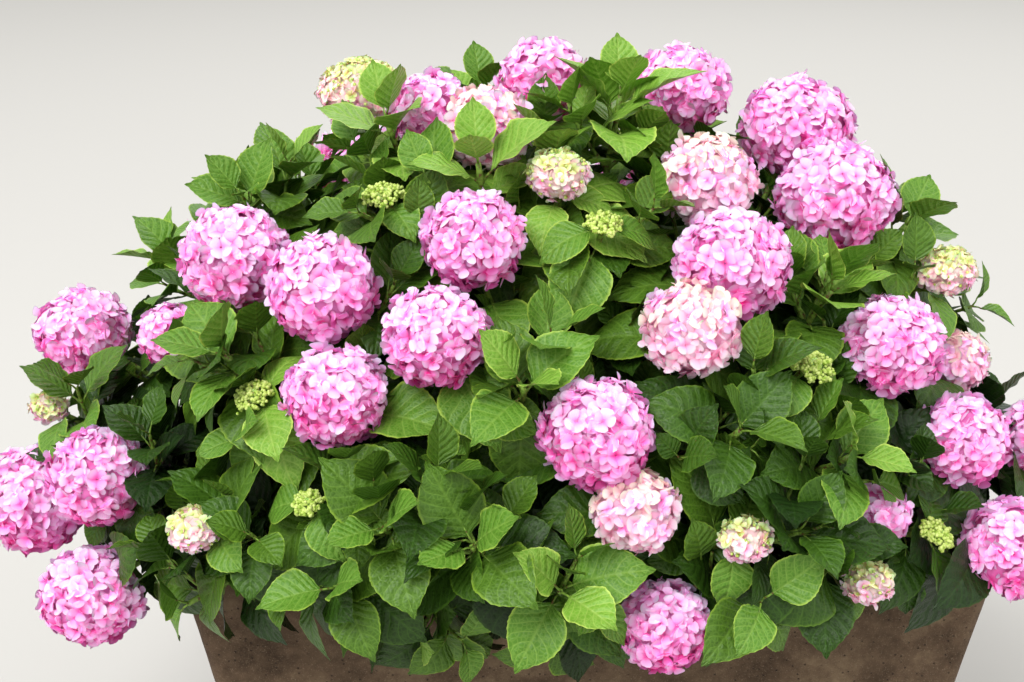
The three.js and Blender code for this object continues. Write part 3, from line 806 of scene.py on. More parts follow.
# One cane: a tapering bend from the stool to where its mass branches
def makeCane(mass):
    selectOnly()
    foot, turn, hub = mass["stem"]
    bpy.ops.curve.primitive_bezier_curve_add(location=(0, 0, 0))
    cane = bpy.context.object
    ends = cane.data.splines[0].bezier_points
    root = foot - up * (clearance + bark["sunk"])
    for point, place, radius in ((ends[0], root, stem["footRadius"]), (ends[1], hub, stem["tipRadius"])):
        point.handle_left_type = point.handle_right_type = "FREE"
        point.co = place * mm
        point.radius = radius
    ends[0].handle_right = (root + (turn - root) * 2 / 3) * mm
    ends[0].handle_left = (root - (turn - root) / 3) * mm
    ends[1].handle_left = (hub + (turn - hub) * 2 / 3) * mm
    ends[1].handle_right = (hub - (turn - hub) / 3) * mm
    cane.data.dimensions = "3D"
    cane.data.resolution_u = bark["caneSteps"]
    cane.data.bevel_depth = mm
    cane.data.bevel_resolution = bark["caneSides"]
    cane.data.use_fill_caps = True
    bpy.ops.object.convert(target="MESH")
    return cane


def makeCanes():
    canes = [makeCane(mass) for mass in masses]
    selectOnly(*canes)
    bpy.ops.object.join()
    piece = canes[0]
    piece.name = "barkedCanes"
    applyPlace(piece)
    startEdit()
    bpy.ops.mesh.select_all(action="SELECT")
    bpy.ops.mesh.remove_doubles(threshold=0.01 * mm)
    endEdit()
    addRelief(piece, bark["caneRelief"])
    bpy.ops.object.shade_smooth()
    piece.data.materials.append(flakyBark)
    return piece


finishPiece(makeStool(), "bark", "woody_stool")
finishPiece(makeCanes(), "bark", *["stem_" + m["name"] for m in masses])
print("stool and canes made")


# Meshes of many copies, joined from arrays

def joinedMesh(name, places, corners, starts, uvs, owners, materials):
    mesh = bpy.data.meshes.new(name)
    mesh.vertices.add(len(places))
    mesh.vertices.foreach_set("co", (places * mm).astype(np.float32).ravel())
    mesh.loops.add(len(corners))
    mesh.loops.foreach_set("vertex_index", corners.astype(np.int32))
    mesh.polygons.add(len(starts))
    mesh.polygons.foreach_set("loop_start", starts.astype(np.int32))
    mesh.polygons.foreach_set("material_index", owners.astype(np.int32))
    mesh.update(calc_edges=True)
    layer = mesh.uv_layers.new(name="blade")
    layer.data.foreach_set("uv", uvs.astype(np.float32).ravel())
    for material in materials:
        mesh.materials.append(material)
    mesh.validate()
    piece = bpy.data.objects.new(name, mesh)
    bpy.context.collection.objects.link(piece)
    selectOnly(piece)
    bpy.ops.object.shade_smooth()
    triangles = int((np.diff(np.append(starts, len(corners))) - 2).sum())
    print(name, triangles, "triangles")
    return piece


# Copies of a modelled shape: placed holds every copy's corners, tones the number of its material
def stampCopies(name, model, placed, tones, materials):
    copies, corners = placed.shape[0], len(model["corners"])
    order = np.arange(copies)[:, None]
    loops = (model["corners"][None] + order * placed.shape[1]).ravel()
    starts = (model["starts"][None] + order * corners).ravel()
    owners = np.repeat(tones, len(model["starts"]))
    uvs = np.tile(model["uvs"], (copies, 1))
    return joinedMesh(name, placed.reshape(-1, 3), loops, starts, uvs, owners, materials)


# Reads a modelled shape into arrays, and takes the object away
def takeModel(piece):
    mesh = piece.data
    model = {"places": np.zeros(len(mesh.vertices) * 3), "corners": np.zeros(len(mesh.loops), int),
             "starts": np.zeros(len(mesh.polygons), int)}
    mesh.vertices.foreach_get("co", model["places"])
    mesh.loops.foreach_get("vertex_index", model["corners"])
    mesh.polygons.foreach_get("loop_start", model["starts"])
    model["places"] = model["places"].reshape(-1, 3)
    bpy.data.objects.remove(piece)
    return model


# Green tubes along rows of places, all with the same count of places; each end is closed
def tubeMesh(name, rows, radii, sides):
    rows, radii = np.asarray(rows), np.asarray(radii)
    count, steps = rows.shape[:2]
    ways = np.gradient(rows, axis=1)
    ways /= np.linalg.norm(ways, axis=2, keepdims=True) + 1e-9
    square = np.cross(rows[:, steps // 2] - rows[:, 0], rows[:, -1] - rows[:, steps // 2])
    straight = np.linalg.norm(square, axis=1) < 1e-3
    square[straight] = np.cross(ways[straight, 0], np.array([0.31, 0.2, 0.93]))
    square /= np.linalg.norm(square, axis=1, keepdims=True) + 1e-9
    across = np.cross(ways, square[:, None])
    across /= np.linalg.norm(across, axis=2, keepdims=True) + 1e-9
    over = np.cross(ways, across)
    turns = 2 * np.pi * np.arange(sides) / sides
    ring = across[:, :, None] * np.cos(turns)[:, None] + over[:, :, None] * np.sin(turns)[:, None]
    places = rows[:, :, None] + ring * radii[:, :, None, None]
    s, k = np.meshgrid(np.arange(steps - 1), np.arange(sides), indexing="ij")
    a, b = s * sides + k, s * sides + (k + 1) % sides
    quads = np.stack([a, b, b + sides, a + sides], axis=-1).reshape(-1)
    first, last = np.arange(sides)[::-1], np.arange(sides) + (steps - 1) * sides
    corners = np.concatenate([quads, first, last])
    starts = np.append(np.arange(0, len(quads) + 1, 4), len(quads) + sides)
    model = {"corners": corners, "starts": starts, "uvs": np.zeros((len(corners), 2))}
    return stampCopies(name, model, places.reshape(count, -1, 3), np.zeros(count, int), [stalkRind])


# Tubes along bends, each with the radius of its root and of its tip, and a swelling at every second step
def bentTubes(name, bends, steps, sides, swelling):
    along = np.linspace(0, 1, steps)
    rows = np.array([bendPoint(bend, along) for bend, _, _ in bends])
    radii = np.array([root + (tip - root) * along for _, root, tip in bends])
    return tubeMesh(name, rows, radii * (1 + swelling * (np.arange(steps) % 2)), sides)


# Leaf blade, modelled flat along +X from 0 to 1, its half width 1 at the widest
blade = {
    "rows": 12,
    "outline": [0.05, 0.4, 0.69, 0.87, 0.97, 1.0, 0.99, 0.94, 0.84, 0.68, 0.44, 0.15, 0.01],
    "toothOut": 1.025,
    "toothAhead": 0.014,
}
modelNear = 0.001       # how close counts as at a place, in a model of size 1


def modelBlade():
    selectOnly()
    rows = blade["rows"]
    bpy.ops.mesh.primitive_grid_add(x_subdivisions=rows, y_subdivisions=4, size=1, location=(0.5, 0, 0))
    piece = bpy.context.object
    piece.scale = (1, 2, 1)
    applyPlace(piece)
    startEdit()
    for row, width in enumerate(blade["outline"]):
        at = row / rows
        selectWhere(lambda co: abs(co.x - at) < modelNear)
        bpy.ops.transform.resize(value=(1, width, 1), center_override=(at, 0, 0))
    # teeth: a new corner in the middle of each stretch of the edge, drawn out and forwards
    before = len(piece.data.vertices)
    selectEdges(lambda e: e.is_boundary and abs(e.verts[0].co.x - e.verts[1].co.x) > modelNear)
    bpy.ops.mesh.subdivide(number_cuts=1, ngon=True)
    shape = bmesh.from_edit_mesh(piece.data)
    shape.verts.ensure_lookup_table()
    bpy.context.tool_settings.mesh_select_mode = (True, False, False)
    bpy.ops.mesh.select_all(action="DESELECT")
    for v in shape.verts[before:]:
        v.select = True
    bmesh.update_edit_mesh(piece.data)
    bpy.ops.transform.resize(value=(1, blade["toothOut"], 1), center_override=(0, 0, 0))
    bpy.ops.transform.translate(value=(blade["toothAhead"], 0, 0))
    endEdit()
    model = takeModel(piece)
    along, side = model["places"][:, 0], model["places"][:, 1]
    halfWidth = np.interp(along, np.arange(rows + 1) / rows, blade["outline"])
    across = np.clip(side / halfWidth, -1, 1)
    model["uvs"] = np.stack([along, across * 0.5 + 0.5], axis=1)[model["corners"]]
    return model


# Leaves: in opposite pairs down each shoot, each pair square to the one before it
leaves = {
    "length": 99, "lengthSpread": (-0.15, 0.125),
    "share": 0.74,          # width for a length of 1
    "pairs": 6, "spacing": 33, "firstLeafy": 3, "underHead": 12,
    "lowest": 0.08,         # of its shoot's length: no pair below this
    "stalk": 24, "longestStalk": 1.2, "stalkLift": 0.35,
    "young": 0.68, "next": 0.92,   # sizes of the first two pairs of a leafy shoot
    "underBud": 0.72,       # size of the pair below a bud or an opening head
    "lift": 0.34, "youngLift": 0.65, "nextLift": 0.5,
    "steeper": [0.95, 0.6, 0.3, 0.1, 0.0, 0.0],    # more lift for each pair where a leafy shoot is upright
    "droop": 0.3, "upright": 0.55,
    "turns": [0, 16, -16, 32, -32, 50, -50, 70, -70], "sizes": [1, 0.86, 0.72],
    "askew": 0.2,
    "bend": (0.35, 1.0), "limp": 1.2, "stiff": 0.7,     # a lifted leaf bends less
    "fold": (0.12, 0.42), "twist": (-0.25, 0.25), "wave": (0, fullTurn), "ripple": (0.01, 0.035),
    "ripples": 17, "arch": 1.6, "twistShare": 0.3,
    "edge": 1.1,            # the furthest reach of a leaf
    "beyondBox": 20,        # how far a leaf may pass the sides of the source's box
    "offTrough": 7,
    "apart": 20,            # between the midribs of two leaves
    # painted light: above the sunny level, from lower down on the left, and more above the top level, the
    # leaves take lighter tones
    "sunny": 745,           # above this the leaves are lighter, and on the left from lower down
    "sunnyLeft": 0.3,
    "top": 870,             # above this they are lighter still
    # painted shade: below shadeBelow the older pairs, and right of shadeRight all pairs, take a darker tone,
    # and a fresh shoot out of the sunny part darkens faster down its stem
    "shadeBelow": 600,      # below this the older ones are darker, and to the right of the next value all
    "shadeRight": 150,
    # painted light: leafy shoots in front of foremost take one tone lighter
    "foremost": -415,       # leafy shoots in front of this are lighter
    "fresh": 3,             # a shoot with a tone above this darkens faster down its stem
    "inHead": 0.9,          # of a head's radius is kept free of leaves
    "beforeHead": 0.72,     # of its radius is kept free before it
    "smallHead": 90, "topHead": 940,    # those heads may stand behind leaves
    "split": -60,           # the front piece has the leaves before this, the back piece the others
}
# Tones that a shoot's first pair may have, from 0 for deep to 5 for lime: where it is sunny, the lighter set
# as painted light, and elsewhere
firstTones = {
    "leafy": ([5, 5, 4], [5, 4, 3, 3]),
    "unripe": ([5, 4, 4], [4, 4, 3]),
    "ripe": ([4, 4, 3, 3], [3, 2, 2, 1]),
}
sideShoots = {
    "perShoot": 4, "length": 62, "spread": 26, "outward": 0.95, "ahead": 0.62, "upward": 0.3,
    "radius": 2.8, "tipRadius": 1.8, "turning": 0.55, "rise": 0.2,
    "edge": 0.93, "offTrough": 30, "offHead": 12,       # room that the tip needs
    "first": 2, "pairs": 3, "spacing": 26, "size": 0.8, "darkest": 2,
}
towardsFront = np.array([0, -0.94, 0.34])
shapeSeed = 5
rng = np.random.default_rng(shapeSeed)

headPlaces = gather(heads, "place")
headRadii = gather(heads, "width") / 2
openHeads = [h for h in heads if h["place"][2] < leaves["topHead"]
             and (h["kind"] != "ripe" or h["width"] > leaves["smallHead"])]
openPlaces = gather(openHeads, "place")
openRadii = gather(openHeads, "width") / 2 * leaves["beforeHead"]
openWays = np.array([towardsFront if h["place"][1] < 0 else unit(h["place"] - crownMiddle)
                     for h in openHeads])
lowCorner = np.array(cadBox[0]) / mm - leaves["beyondBox"]
highCorner = np.array(cadBox[1]) / mm + leaves["beyondBox"]
grownMiddles = np.zeros((0, 3))
grown = []
# places on a leaf that are tested for room: three of its midrib, its tip and its sides
testAlong = np.array([0.2, 0.5, 0.8, 1.0, 0.3, 0.3, 0.5, 0.5, 0.7, 0.7])
testAcross = np.array([0.0, 0.0, 0.0, 0.0, -0.7, 0.7, -0.9, 0.9, -0.6, 0.6])
ribTests = 3


def turned(v, axis, angle):
    c, s = math.cos(angle), math.sin(angle)
    return v * c + np.cross(axis, v) * s + axis * float(axis @ v) * (1 - c)


# Square to a shoot, turned about it from the level
def spreadWay(axis, turn):
    flat = np.cross(axis, up)
    return turned(unit(flat) if length(flat) > 0.05 else np.array([1.0, 0, 0]), axis, turn)


# A leaf on its stalk, and its frame
def leafAt(root, axis, turn, size, lift):
    spread = spreadWay(axis, turn)
    stalkWay = unit(spread + axis * (lift + leaves["stalkLift"]))
    along = unit(unit(spread + axis * lift) - up * leaves["droop"] * max(0, 1 - lift))
    facing = unit(axis + up * leaves["upright"])
    side = unit(np.cross(facing, along))
    start = root + stalkWay * leaves["stalk"] * min(leaves["longestStalk"], size / leaves["length"])
    return {"root": root, "start": start, "along": along, "side": side, "facing": np.cross(along, side),
            "size": size}


def hasRoom(leaf):
    width = leaf["size"] * leaves["share"] / 2
    dip = (testAlong**2) * leaf["size"] * leaf["bend"] * 0.5
    places = (leaf["start"] + leaf["along"] * (testAlong * leaf["size"])[:, None]
              + leaf["side"] * (testAcross * width)[:, None] - leaf["facing"] * dip[:, None])
    if reachOf(places).max() > leaves["edge"]:
        return False
    if (places < lowCorner).any() or (places > highCorner).any():
        return False
    if insideTrough(places, leaves["offTrough"]).any():
        return False
    gaps = np.linalg.norm(places[:, None] - headPlaces[None], axis=2) - headRadii[None] * leaves["inHead"]
    if gaps.min() < 0:
        return False
    away = places[:, None] - openPlaces[None]
    ahead = (away * openWays[None]).sum(axis=2)
    beside = np.linalg.norm(away - ahead[..., None] * openWays[None], axis=2)
    if ((ahead > 0) & (beside < openRadii)).any():
        return False
    global grownMiddles
    ribs = places[:ribTests]
    if len(grownMiddles):
        between = np.linalg.norm(grownMiddles[:, None] - ribs[None], axis=2)
        if between.min() < leaves["apart"]:
            return False
    grownMiddles = np.vstack([grownMiddles, ribs])
    return True


# Grows a leaf where it has room, turned aside or smaller if need be, or else none
def growLeaf(root, axis, turn, size, lift, tone):
    bend = rng.uniform(*leaves["bend"]) * (leaves["limp"] - leaves["stiff"] * lift)
    for share in leaves["sizes"]:
        for extra in leaves["turns"]:
            leaf = leafAt(root, axis, turn + math.radians(extra), size * share, lift)
            leaf["bend"] = bend
            if hasRoom(leaf):
                leaf["tone"] = tone
                for trait in ("fold", "twist", "wave", "ripple"):
                    leaf[trait] = rng.uniform(*leaves[trait])
                grown.append(leaf)
                return


# Where a place lies in the painted light, so that its leaves take lighter tones
def isSunny(place):
    return place[2] > leaves["sunny"] + leaves["sunnyLeft"] * min(0.0, place[0])


# The tone of a pair: fresh at the tips and deeper further down the stem, partly as leaves age and partly as
# painted shade inside the crown; lighter where more light falls, as painted light, and darker low down and to
# the lower right, as painted shade
def toneOf(base, pair, root):
    older = pair // 2 if isSunny(root) else pair if base > leaves["fresh"] else (pair + 1) // 2
    if root[2] > leaves["top"]:
        older = pair // 3 - 1
    if root[2] < leaves["shadeBelow"] and (pair > 1 or root[0] > leaves["shadeRight"]):
        older += 1
    return int(np.clip(base - older, 0, len(leafMaterials) - 1))


# Grows pairs of leaves down a bend, the first one this far below its tip
def growPairs(bend, first, rule, size, base, leafy, firstShare=1):
    total = bendLength(bend)
    turn = rng.uniform(0, math.pi)
    nodes = []
    for pair in range(rule["pairs"]):
        t = 1 - (first + pair * rule["spacing"]) / total
        if t < leaves["lowest"]:
            break
        root, axis = bendPoint(bend, t), bendWay(bend, t)
        age = min(pair, 2) if leafy else 2
        lift = (leaves["youngLift"], leaves["nextLift"], leaves["lift"])[age]
        share = (leaves["young"], leaves["next"], 1)[age]
        if leafy:
            lift += leaves["steeper"][pair] * max(0.0, axis[2])
        if pair == 0:
            share *= firstShare
        nodes.append((t, turn))
        for opposite in (0, math.pi):
            own = size * share * (1 + rng.uniform(*leaves["lengthSpread"]))
            askew = rng.uniform(-leaves["askew"], leaves["askew"])
            growLeaf(root, axis, turn + opposite + askew, own, lift, toneOf(base, pair, root))
        turn += math.pi / 2
    return nodes


# Main shoots first, so that the leaves round the heads and tips find room
twigBends = []
nodeRows = []
for shoot in shoots:
    leafy, unripe = shoot["kind"] == "leafy", shoot["kind"] in ("bud", "opening")
    # painted light: a sunny shoot draws the tone of its first pair from the lighter set
    sunnyTones, otherTones = firstTones["leafy" if leafy else "unripe" if unripe else "ripe"]
    base = rng.choice(sunnyTones if isSunny(shoot["place"]) else otherTones)
    # painted light: a leafy shoot in front of foremost takes one tone lighter
    base += int(leafy and shoot["place"][1] < leaves["foremost"])
    first = leaves["firstLeafy"] if leafy else shoot["width"] / 2 + leaves["underHead"]
    nodes = growPairs(shoot["twig"], first, leaves, leaves["length"], base, leafy,
                      leaves["underBud"] if unripe else 1)
    twigBends.append((shoot["twig"], twig["radius"], twig["tipRadius"]))
    nodeRows.append((shoot, nodes, base))
print("main leaves:", len(grown))


# A side shoot from an axil, if its tip has room
def growSideShoot(root, axis, turn, base):
    way = unit(spreadWay(axis, turn) * sideShoots["outward"] + axis * sideShoots["ahead"]
               + up * sideShoots["upward"])
    long = sideShoots["length"] + sideShoots["spread"] * rng.uniform(-1, 1)
    tip = root + way * long + up * long * sideShoots["rise"]
    offHead = (np.linalg.norm(headPlaces - tip, axis=1) - headRadii).min()
    if (reachOf(tip) > sideShoots["edge"] or insideTrough(tip, sideShoots["offTrough"])
            or offHead <= sideShoots["offHead"]):
        return False
    bend = (root, root + way * long * sideShoots["turning"], tip)
    twigBends.append((bend, sideShoots["radius"], sideShoots["tipRadius"]))
    growPairs(bend, sideShoots["first"], sideShoots, leaves["length"] * sideShoots["size"],
              max(base - 1, sideShoots["darkest"]), True)
    return True


# Side shoots stand lower down on each shoot and close the crown between the main ones
for shoot, nodes, base in nodeRows:
    axils = [(t, turn + opposite) for t, turn in nodes[1:] for opposite in (0, math.pi)]
    made = 0
    for t, turn in axils:
        if made < sideShoots["perShoot"]:
            made += growSideShoot(bendPoint(shoot["twig"], t), bendWay(shoot["twig"], t), turn, base)
print("leaves:", len(grown))


# Bends every blade to its leaf: folded along the midrib, arched down to the tip, twisted and rippled
def placeBlades(model, chosen):
    u, v = model["places"][:, 0], model["places"][:, 1]
    size, fold, bend, twist, wave, ripple, start, *axes = [
        gather(chosen, k)[:, None]
        for k in ("size", "fold", "bend", "twist", "wave", "ripple", "start", "along", "side", "facing")]
    side = v[None] * size * leaves["share"] / 2
    rise = np.abs(side) * fold
    rise = rise + size * ripple * np.sin(u[None] * leaves["ripples"] + wave + np.sign(v)[None]) * v[None] ** 2
    arch = bend * leaves["arch"]
    arc = bend * u[None] * leaves["arch"]
    along = size * (np.sin(arc) / arch) - rise * np.sin(arc)
    rise = -size * ((1 - np.cos(arc)) / arch) + rise * np.cos(arc)
    lean = twist * u[None]
    side, rise = (side * np.cos(lean) - rise * np.sin(lean) * leaves["twistShare"],
                  rise + side * np.sin(lean))
    return start + axes[0] * along[..., None] + axes[1] * side[..., None] + axes[2] * rise[..., None]


bladeModel = modelBlade()
frontNodes = ["foliage_" + m["name"] for m in masses if m["name"] in seenMasses]
backNodes = ["foliage_" + m["name"] for m in masses if m["name"] not in seenMasses]
for name, front, nodes in (("leavesFront", True, frontNodes), ("leavesBack", False, backNodes)):
    chosen = [g for g in grown if (g["start"][1] < leaves["split"]) == front]
    piece = stampCopies(name, bladeModel, placeBlades(bladeModel, chosen), gather(chosen, "tone"),
                        leafMaterials)
    finishPiece(piece, "foliage", *nodes)

# Green twigs, swollen at every second step like nodes
twigShape = {"steps": 13, "sides": 7, "swelling": 0.16}
finishPiece(bentTubes("greenTwigs", twigBends, twigShape["steps"], twigShape["sides"], twigShape["swelling"]),
            "foliage")

# Leaf stalks, each from its shoot to a little way under the midrib, with its radius at four places
stalkShape = {"sides": 5, "radius": 1.5, "taper": [1.35, 1, 0.9, 0.45], "turning": 0.35, "underRib": 0.12,
              "sunk": 0.006, "under": 0.5}


def makeStalks():
    rows, radii = [], []
    for g in grown:
        reach = length(g["start"] - g["root"])
        turning = g["start"] - g["along"] * reach * stalkShape["turning"]
        rib = (g["start"] + g["along"] * g["size"] * stalkShape["underRib"]
               - g["facing"] * g["size"] * stalkShape["sunk"])
        rows.append([g["root"], turning, g["start"] - g["facing"] * stalkShape["under"], rib])
        thick = stalkShape["radius"] * (g["size"] / leaves["length"]) ** 0.5
        radii.append([thick * share for share in stalkShape["taper"]])
    return tubeMesh("leafStalks", rows, radii, stalkShape["sides"])


finishPiece(makeStalks(), "foliage")


# Floret of four broad sepals, its reach 1: one sepal is modelled, and set round four times
sepal = {"rows": [0.07, 0.38, 0.7, 0.93], "halfWidths": [0.08, 0.41, 0.56, 0.36], "tip": 1.0}


def modelSepal():
    selectOnly()
    bpy.ops.mesh.primitive_grid_add(x_subdivisions=3, y_subdivisions=2, size=1, location=(0, 0, 0))
    piece = bpy.context.object
    startEdit()
    for row in (3, 2, 1, 0):
        at = row / 3 - 0.5
        selectWhere(lambda co: abs(co.x - at) < modelNear)
        bpy.ops.transform.resize(value=(1, sepal["halfWidths"][row] * 2, 1), center_override=(at, 0, 0))
        bpy.ops.transform.translate(value=(sepal["rows"][row] - at, 0, 0))
    selectWhere(lambda co: co.x > sepal["rows"][3] - modelNear and abs(co.y) < modelNear)
    bpy.ops.transform.translate(value=(sepal["tip"] - sepal["rows"][3], 0, 0))
    endEdit()
    return takeModel(piece)


def modelFloret():
    one = modelSepal()
    count, corners = len(one["places"]), len(one["corners"])
    quarters = np.arange(4)[:, None]
    uvs = np.stack([one["places"][:, 0], one["places"][:, 1] + 0.5], axis=1)[one["corners"]]
    return {"sepal": one["places"], "corners": (one["corners"][None] + quarters * count).ravel(),
            "starts": (one["starts"][None] + quarters * corners).ravel(), "uvs": np.tile(uvs, (4, 1))}


# Florets of a head: even over the ball but for the place of the stalk, a little uneven in height and tilt.
# Tones go from the top of the head down, each above its level, where 1 is the top and -1 the stalk. On a ripe
# head the paler tones at the top are painted light and the deeper ones lower down are painted shade.
rest = -9       # under every level, for the last tone
floretKinds = {
    # a ripe head's core is deeper pink, painted shade for the gaps between its florets
    "ripe": {"reach": 12.8, "growth": 0.3, "cover": 2.55, "sink": 6.5, "squash": 0.94, "core": "petalRose",
             "tones": {"petalSoft": 0.3, "petalPink": -0.2, "petalRose": -0.62, "petalDeep": rest}},
    "pale": {"reach": 12.2, "growth": 0.3, "cover": 2.1, "sink": 6.0, "squash": 0.94, "core": "petalBlush",
             "tones": {"petalCream": 0.65, "petalSoft": 0.3, "petalBlush": rest}},
    "opening": {"reach": 8.6, "growth": 0.0, "cover": 1.9, "sink": 3.5, "squash": 0.8, "core": "petalCream",
                "tones": {"petalGreen": 0.3, "petalCream": -0.15, "petalBlush": rest}},
}
floretShape = {
    "fullRadius": 62,               # of a head whose florets have their full reach
    "reachSpread": (0.86, 1.1),
    "scatter": 0.04, "tilt": 0.24, "unevenness": 5,
    "lumps": 0.08, "lumpWays": ((5.1, 3.7, 4.3), (-3.1, 5.9, 2.7)),
    "stalkCone": 0.86, "core": 0.95,
    # painted shade: a floret sunk deeper into its head takes a deeper tone, by toneDepth
    "toneSpread": 0.3, "toneDepth": 0.5,
    "bead": (1.6, 2.6), "beadSink": 3, "beadScatter": 0.1,      # of unopened florets among the others
    "sepalTilt": (-0.2, 0.55), "sepalTwist": (-0.5, 0.5), "sepalCurl": (-0.45, 0.45), "curlShare": 0.6,
    "broadCurl": 1.6,
    "upper": 0.05,                  # two sepals stand this much over the others
}
floretPieces = {"floretsFront": (-600, -215), "floretsMiddle": (-215, 80), "floretsBack": (80, 600)}
cores = []
beads = []
florets = []
budBranches = []


# Two soft waves over a head, so that it isn't quite round
def headLumps(way, phase):
    one, other = [way @ np.array(lumpWay) for lumpWay in floretShape["lumpWays"]]
    return 1 + floretShape["lumps"] * np.sin(one + phase) * np.sin(other + 2 * phase)


def ballAt(place, radius, tone=0, squash=1.0):
    return {"place": place, "radius": radius, "tone": tone, "squash": squash}


def growHead(shoot):
    kind = floretKinds[shoot["kind"]]
    radius = shoot["width"] / 2
    reach = kind["reach"] * (radius / floretShape["fullRadius"]) ** kind["growth"]
    count = int(kind["cover"] * 4 * radius**2 / reach**2)
    axis = bendWay(shoot["twig"], 1.0)
    order = np.arange(count) + 0.5
    rise = 1 - 2 * order / count
    turn = order * goldenTurn + rng.uniform(0, fullTurn)
    ways = np.stack([np.sqrt(1 - rise**2) * np.cos(turn), np.sqrt(1 - rise**2) * np.sin(turn), rise], axis=1)
    ways += rng.normal(0, floretShape["scatter"], ways.shape)
    ways /= np.linalg.norm(ways, axis=1, keepdims=True)
    ways = ways[ways @ axis > -floretShape["stalkCone"]]
    depth = rng.uniform(0, 1, len(ways))
    lumps = headLumps(ways, shoot["width"] + shoot["place"][0])
    out = (radius - kind["sink"] - floretShape["unevenness"] * depth) * lumps
    flattened = np.array([1, 1, kind["squash"]])
    places = shoot["place"] + ways * out[:, None] * flattened
    facing = ways + rng.normal(0, floretShape["tilt"], ways.shape)
    # the level that picks a tone: high at the top of the head, lower for a sunk floret as painted shade, and
    # uneven at random
    level = (ways[:, 2] + floretShape["toneSpread"] * rng.normal(0, 1, len(ways))
             - floretShape["toneDepth"] * (depth - 0.5))
    tones = np.select([level > low for low in kind["tones"].values()],
                      [petalNames.index(tone) for tone in kind["tones"]])
    for place, way, tone in zip(places, facing, tones):
        own = reach * rng.uniform(*floretShape["reachSpread"])
        florets.append({"place": place, "facing": unit(way), "reach": own, "tone": tone,
                        "turn": rng.uniform(0, fullTurn / 4)})
    # the core closes the head; on a ripe head its deeper pink is painted shade for the gaps between florets
    cores.append(ballAt(shoot["place"], (radius - kind["sink"]) * floretShape["core"],
                        petalNames.index(kind["core"]), kind["squash"]))
    if shoot["kind"] == "opening":
        for way in ways[::2]:
            way = unit(way + rng.normal(0, floretShape["beadScatter"], 3))
            place = shoot["place"] + way * (radius - floretShape["beadSink"]) * flattened
            beads.append(ballAt(place, rng.uniform(*floretShape["bead"])))


# Head in bud: tight clusters of green beads on short branches, in a low dome
budShape = {
    "clusters": 24, "beads": 13, "bead": 2.5, "beadSpread": (0.75, 1.2), "spread": 0.085, "stand": (0, 2),
    "flat": 0.62, "dome": 0.95, "foot": 0.55, "out": 0.98, "turning": 0.4, "upright": 0.8,
    "core": 0.5, "coreUp": 0.2, "coreSquash": 0.9,
    "branch": (1.3, 0.8), "branchFoot": 4, "branchSteps": 5, "branchSides": 5,
}


def growBud(shoot):
    radius = shoot["width"] / 2
    axis = unit(bendWay(shoot["twig"], 1.0) + up * budShape["upright"])
    flat = unit(np.cross(axis, np.array([0.3, 0.2, 0.9])))
    over = np.cross(axis, flat)
    start = shoot["place"] - axis * radius * budShape["foot"]
    cores.append(ballAt(start + axis * radius * budShape["coreUp"], radius * budShape["core"],
                        petalNames.index("petalGreen"), budShape["coreSquash"]))
    for i in range(budShape["clusters"]):
        rise = 1 - budShape["dome"] * (i + 0.5) / budShape["clusters"]
        turn = i * goldenTurn
        out = math.sqrt(1 - rise**2)
        way = flat * out * math.cos(turn) + over * out * math.sin(turn) + axis * rise * budShape["flat"]
        middle = start + way * radius * budShape["out"]
        foot = start - axis * budShape["branchFoot"]
        budBranches.append(((foot, start + way * radius * budShape["turning"], middle), *budShape["branch"]))
        for _ in range(budShape["beads"]):
            place = middle + rng.normal(0, budShape["spread"] * radius, 3)
            place = place + axis * rng.uniform(*budShape["stand"])
            beads.append(ballAt(place, budShape["bead"] * rng.uniform(*budShape["beadSpread"])))


for head in heads:
    if head["kind"] == "bud":
        growBud(head)
    else:
        growHead(head)
print("florets:", len(florets), "beads:", len(beads))


# Cups, twists and tilts every sepal of every floret, and sets the florets on their heads
def placeFlorets(model, chosen):
    count = len(chosen)
    x, y = model["sepal"][:, 0], model["sepal"][:, 1]
    tilt, twist, curl = [rng.uniform(*floretShape[k], (count, 4, 1))
                         for k in ("sepalTilt", "sepalTwist", "sepalCurl")]
    upper = np.array([0, floretShape["upper"], 0, floretShape["upper"]])[None, :, None]
    cup = curl * (x**2 + y**2 * floretShape["broadCurl"]) * floretShape["curlShare"]
    rise = tilt * x + twist * y + cup + upper
    drawnIn = 1 / np.sqrt(1 + (tilt + curl) ** 2)
    x, y = x * drawnIn, np.broadcast_to(y, rise.shape)
    turn = gather(chosen, "turn")[:, None, None] + np.arange(4)[None, :, None] * np.pi / 2
    across, over = x * np.cos(turn) - y * np.sin(turn), x * np.sin(turn) + y * np.cos(turn)
    facing = gather(chosen, "facing")
    flat = np.cross(facing, np.array([0.21, 0.33, 0.92]))
    flat /= np.linalg.norm(flat, axis=1, keepdims=True)
    third = np.cross(facing, flat)
    shape = (across[..., None] * flat[:, None, None] + over[..., None] * third[:, None, None]
             + rise[..., None] * facing[:, None, None])
    placed = gather(chosen, "place")[:, None, None] + shape * gather(chosen, "reach")[:, None, None, None]
    return placed.reshape(count, -1, 3)


floretModel = modelFloret()
for name, (low, high) in floretPieces.items():
    chosen = [f for f in florets if low <= f["place"][1] < high]
    piece = stampCopies(name, floretModel, placeFlorets(floretModel, chosen), gather(chosen, "tone"),
                        petalMaterials)
    finishPiece(piece, "foliage")


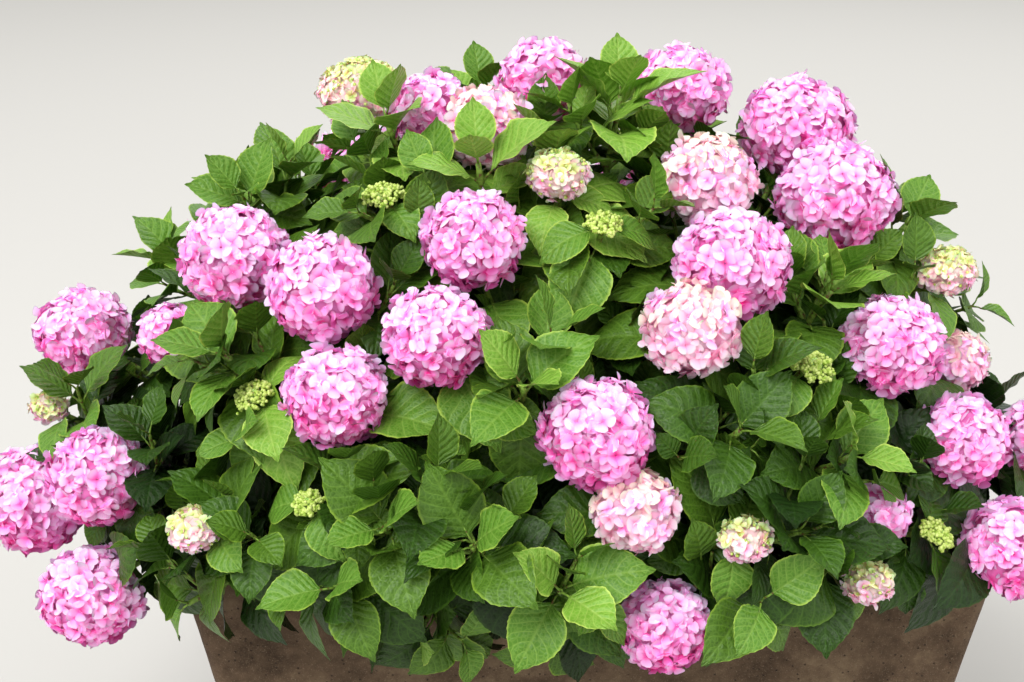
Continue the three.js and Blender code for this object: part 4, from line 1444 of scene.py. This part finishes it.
# Balls: the cores that close the heads, and the green beads of unopened florets
def makeBalls(name, balls, steps, materials):
    selectOnly()
    bpy.ops.mesh.primitive_ico_sphere_add(subdivisions=steps, radius=1, location=(0, 0, 0))
    model = takeModel(bpy.context.object)
    model["uvs"] = np.full((len(model["corners"]), 2), 0.3)
    radii = np.array([[b["radius"], b["radius"], b["radius"] * b["squash"]] for b in balls])[:, None]
    placed = gather(balls, "place")[:, None] + model["places"][None] * radii
    return stampCopies(name, model, placed, gather(balls, "tone"), materials)


finishPiece(makeBalls("headCores", cores, 3, petalMaterials), "foliage")
finishPiece(makeBalls("budBeads", beads, 1, [budRind]), "foliage")
finishPiece(bentTubes("budBranches", budBranches, budShape["branchSteps"], budShape["branchSides"], 0),
            "foliage")


# Stage: plain pale floor, soft light from above and in front, and the camera of the photograph
studio = {
    "floor": "#c0beba", "world": "#f3f3f1", "worldStrength": 0.95,
    "key": {"power": 1300, "size": 6.6, "place": (-4.2, -6.2, 9.0)},
    "fill": {"power": 240, "size": 6.0, "place": (8.0, -4.6, 5.2)},
    "back": {"power": 280, "size": 5.6, "place": (1.6, 7.4, 7.8)},
    "aim": (0, 0, 0.6),
    "camera": {"place": (-0.092, -2.095, 1.330), "pitch": 18.0, "lens": 60.0},
}

selectOnly()
bpy.ops.mesh.primitive_plane_add(size=60, location=(0, 0, -0.0008))
floor = bpy.context.object
floor.name = "studioFloor"
paleFloor, _, shader = newMaterial("paleFloor", {"roughness": 0.8, "specular": 0.5})
shader.inputs["Base Color"].default_value = hexColour(studio["floor"])
floor.data.materials.append(paleFloor)

for name in ("key", "fill", "back"):
    light = studio[name]
    bpy.ops.object.light_add(type="AREA", location=light["place"])
    lamp = bpy.context.object
    lamp.name = name + "Light"
    lamp.data.energy = light["power"]
    lamp.data.size = light["size"]
    aim = mathutils.Vector(studio["aim"]) - lamp.location
    lamp.rotation_euler = aim.to_track_quat("-Z", "Y").to_euler()

world = bpy.data.worlds.new("studioSky")
bpy.context.scene.world = world
world.use_nodes = True
sky = world.node_tree.nodes["Background"]
sky.inputs[0].default_value = hexColour(studio["world"])
sky.inputs[1].default_value = studio["worldStrength"]

bpy.ops.object.camera_add(location=studio["camera"]["place"],
                          rotation=(math.radians(90 - studio["camera"]["pitch"]), 0, 0))
camera = bpy.context.object
camera.name = "camera"
camera.data.lens = studio["camera"]["lens"]
camera.data.sensor_width = 36
bpy.context.scene.camera = camera
bpy.context.scene.view_settings.view_transform = "Standard"
print("stage set")
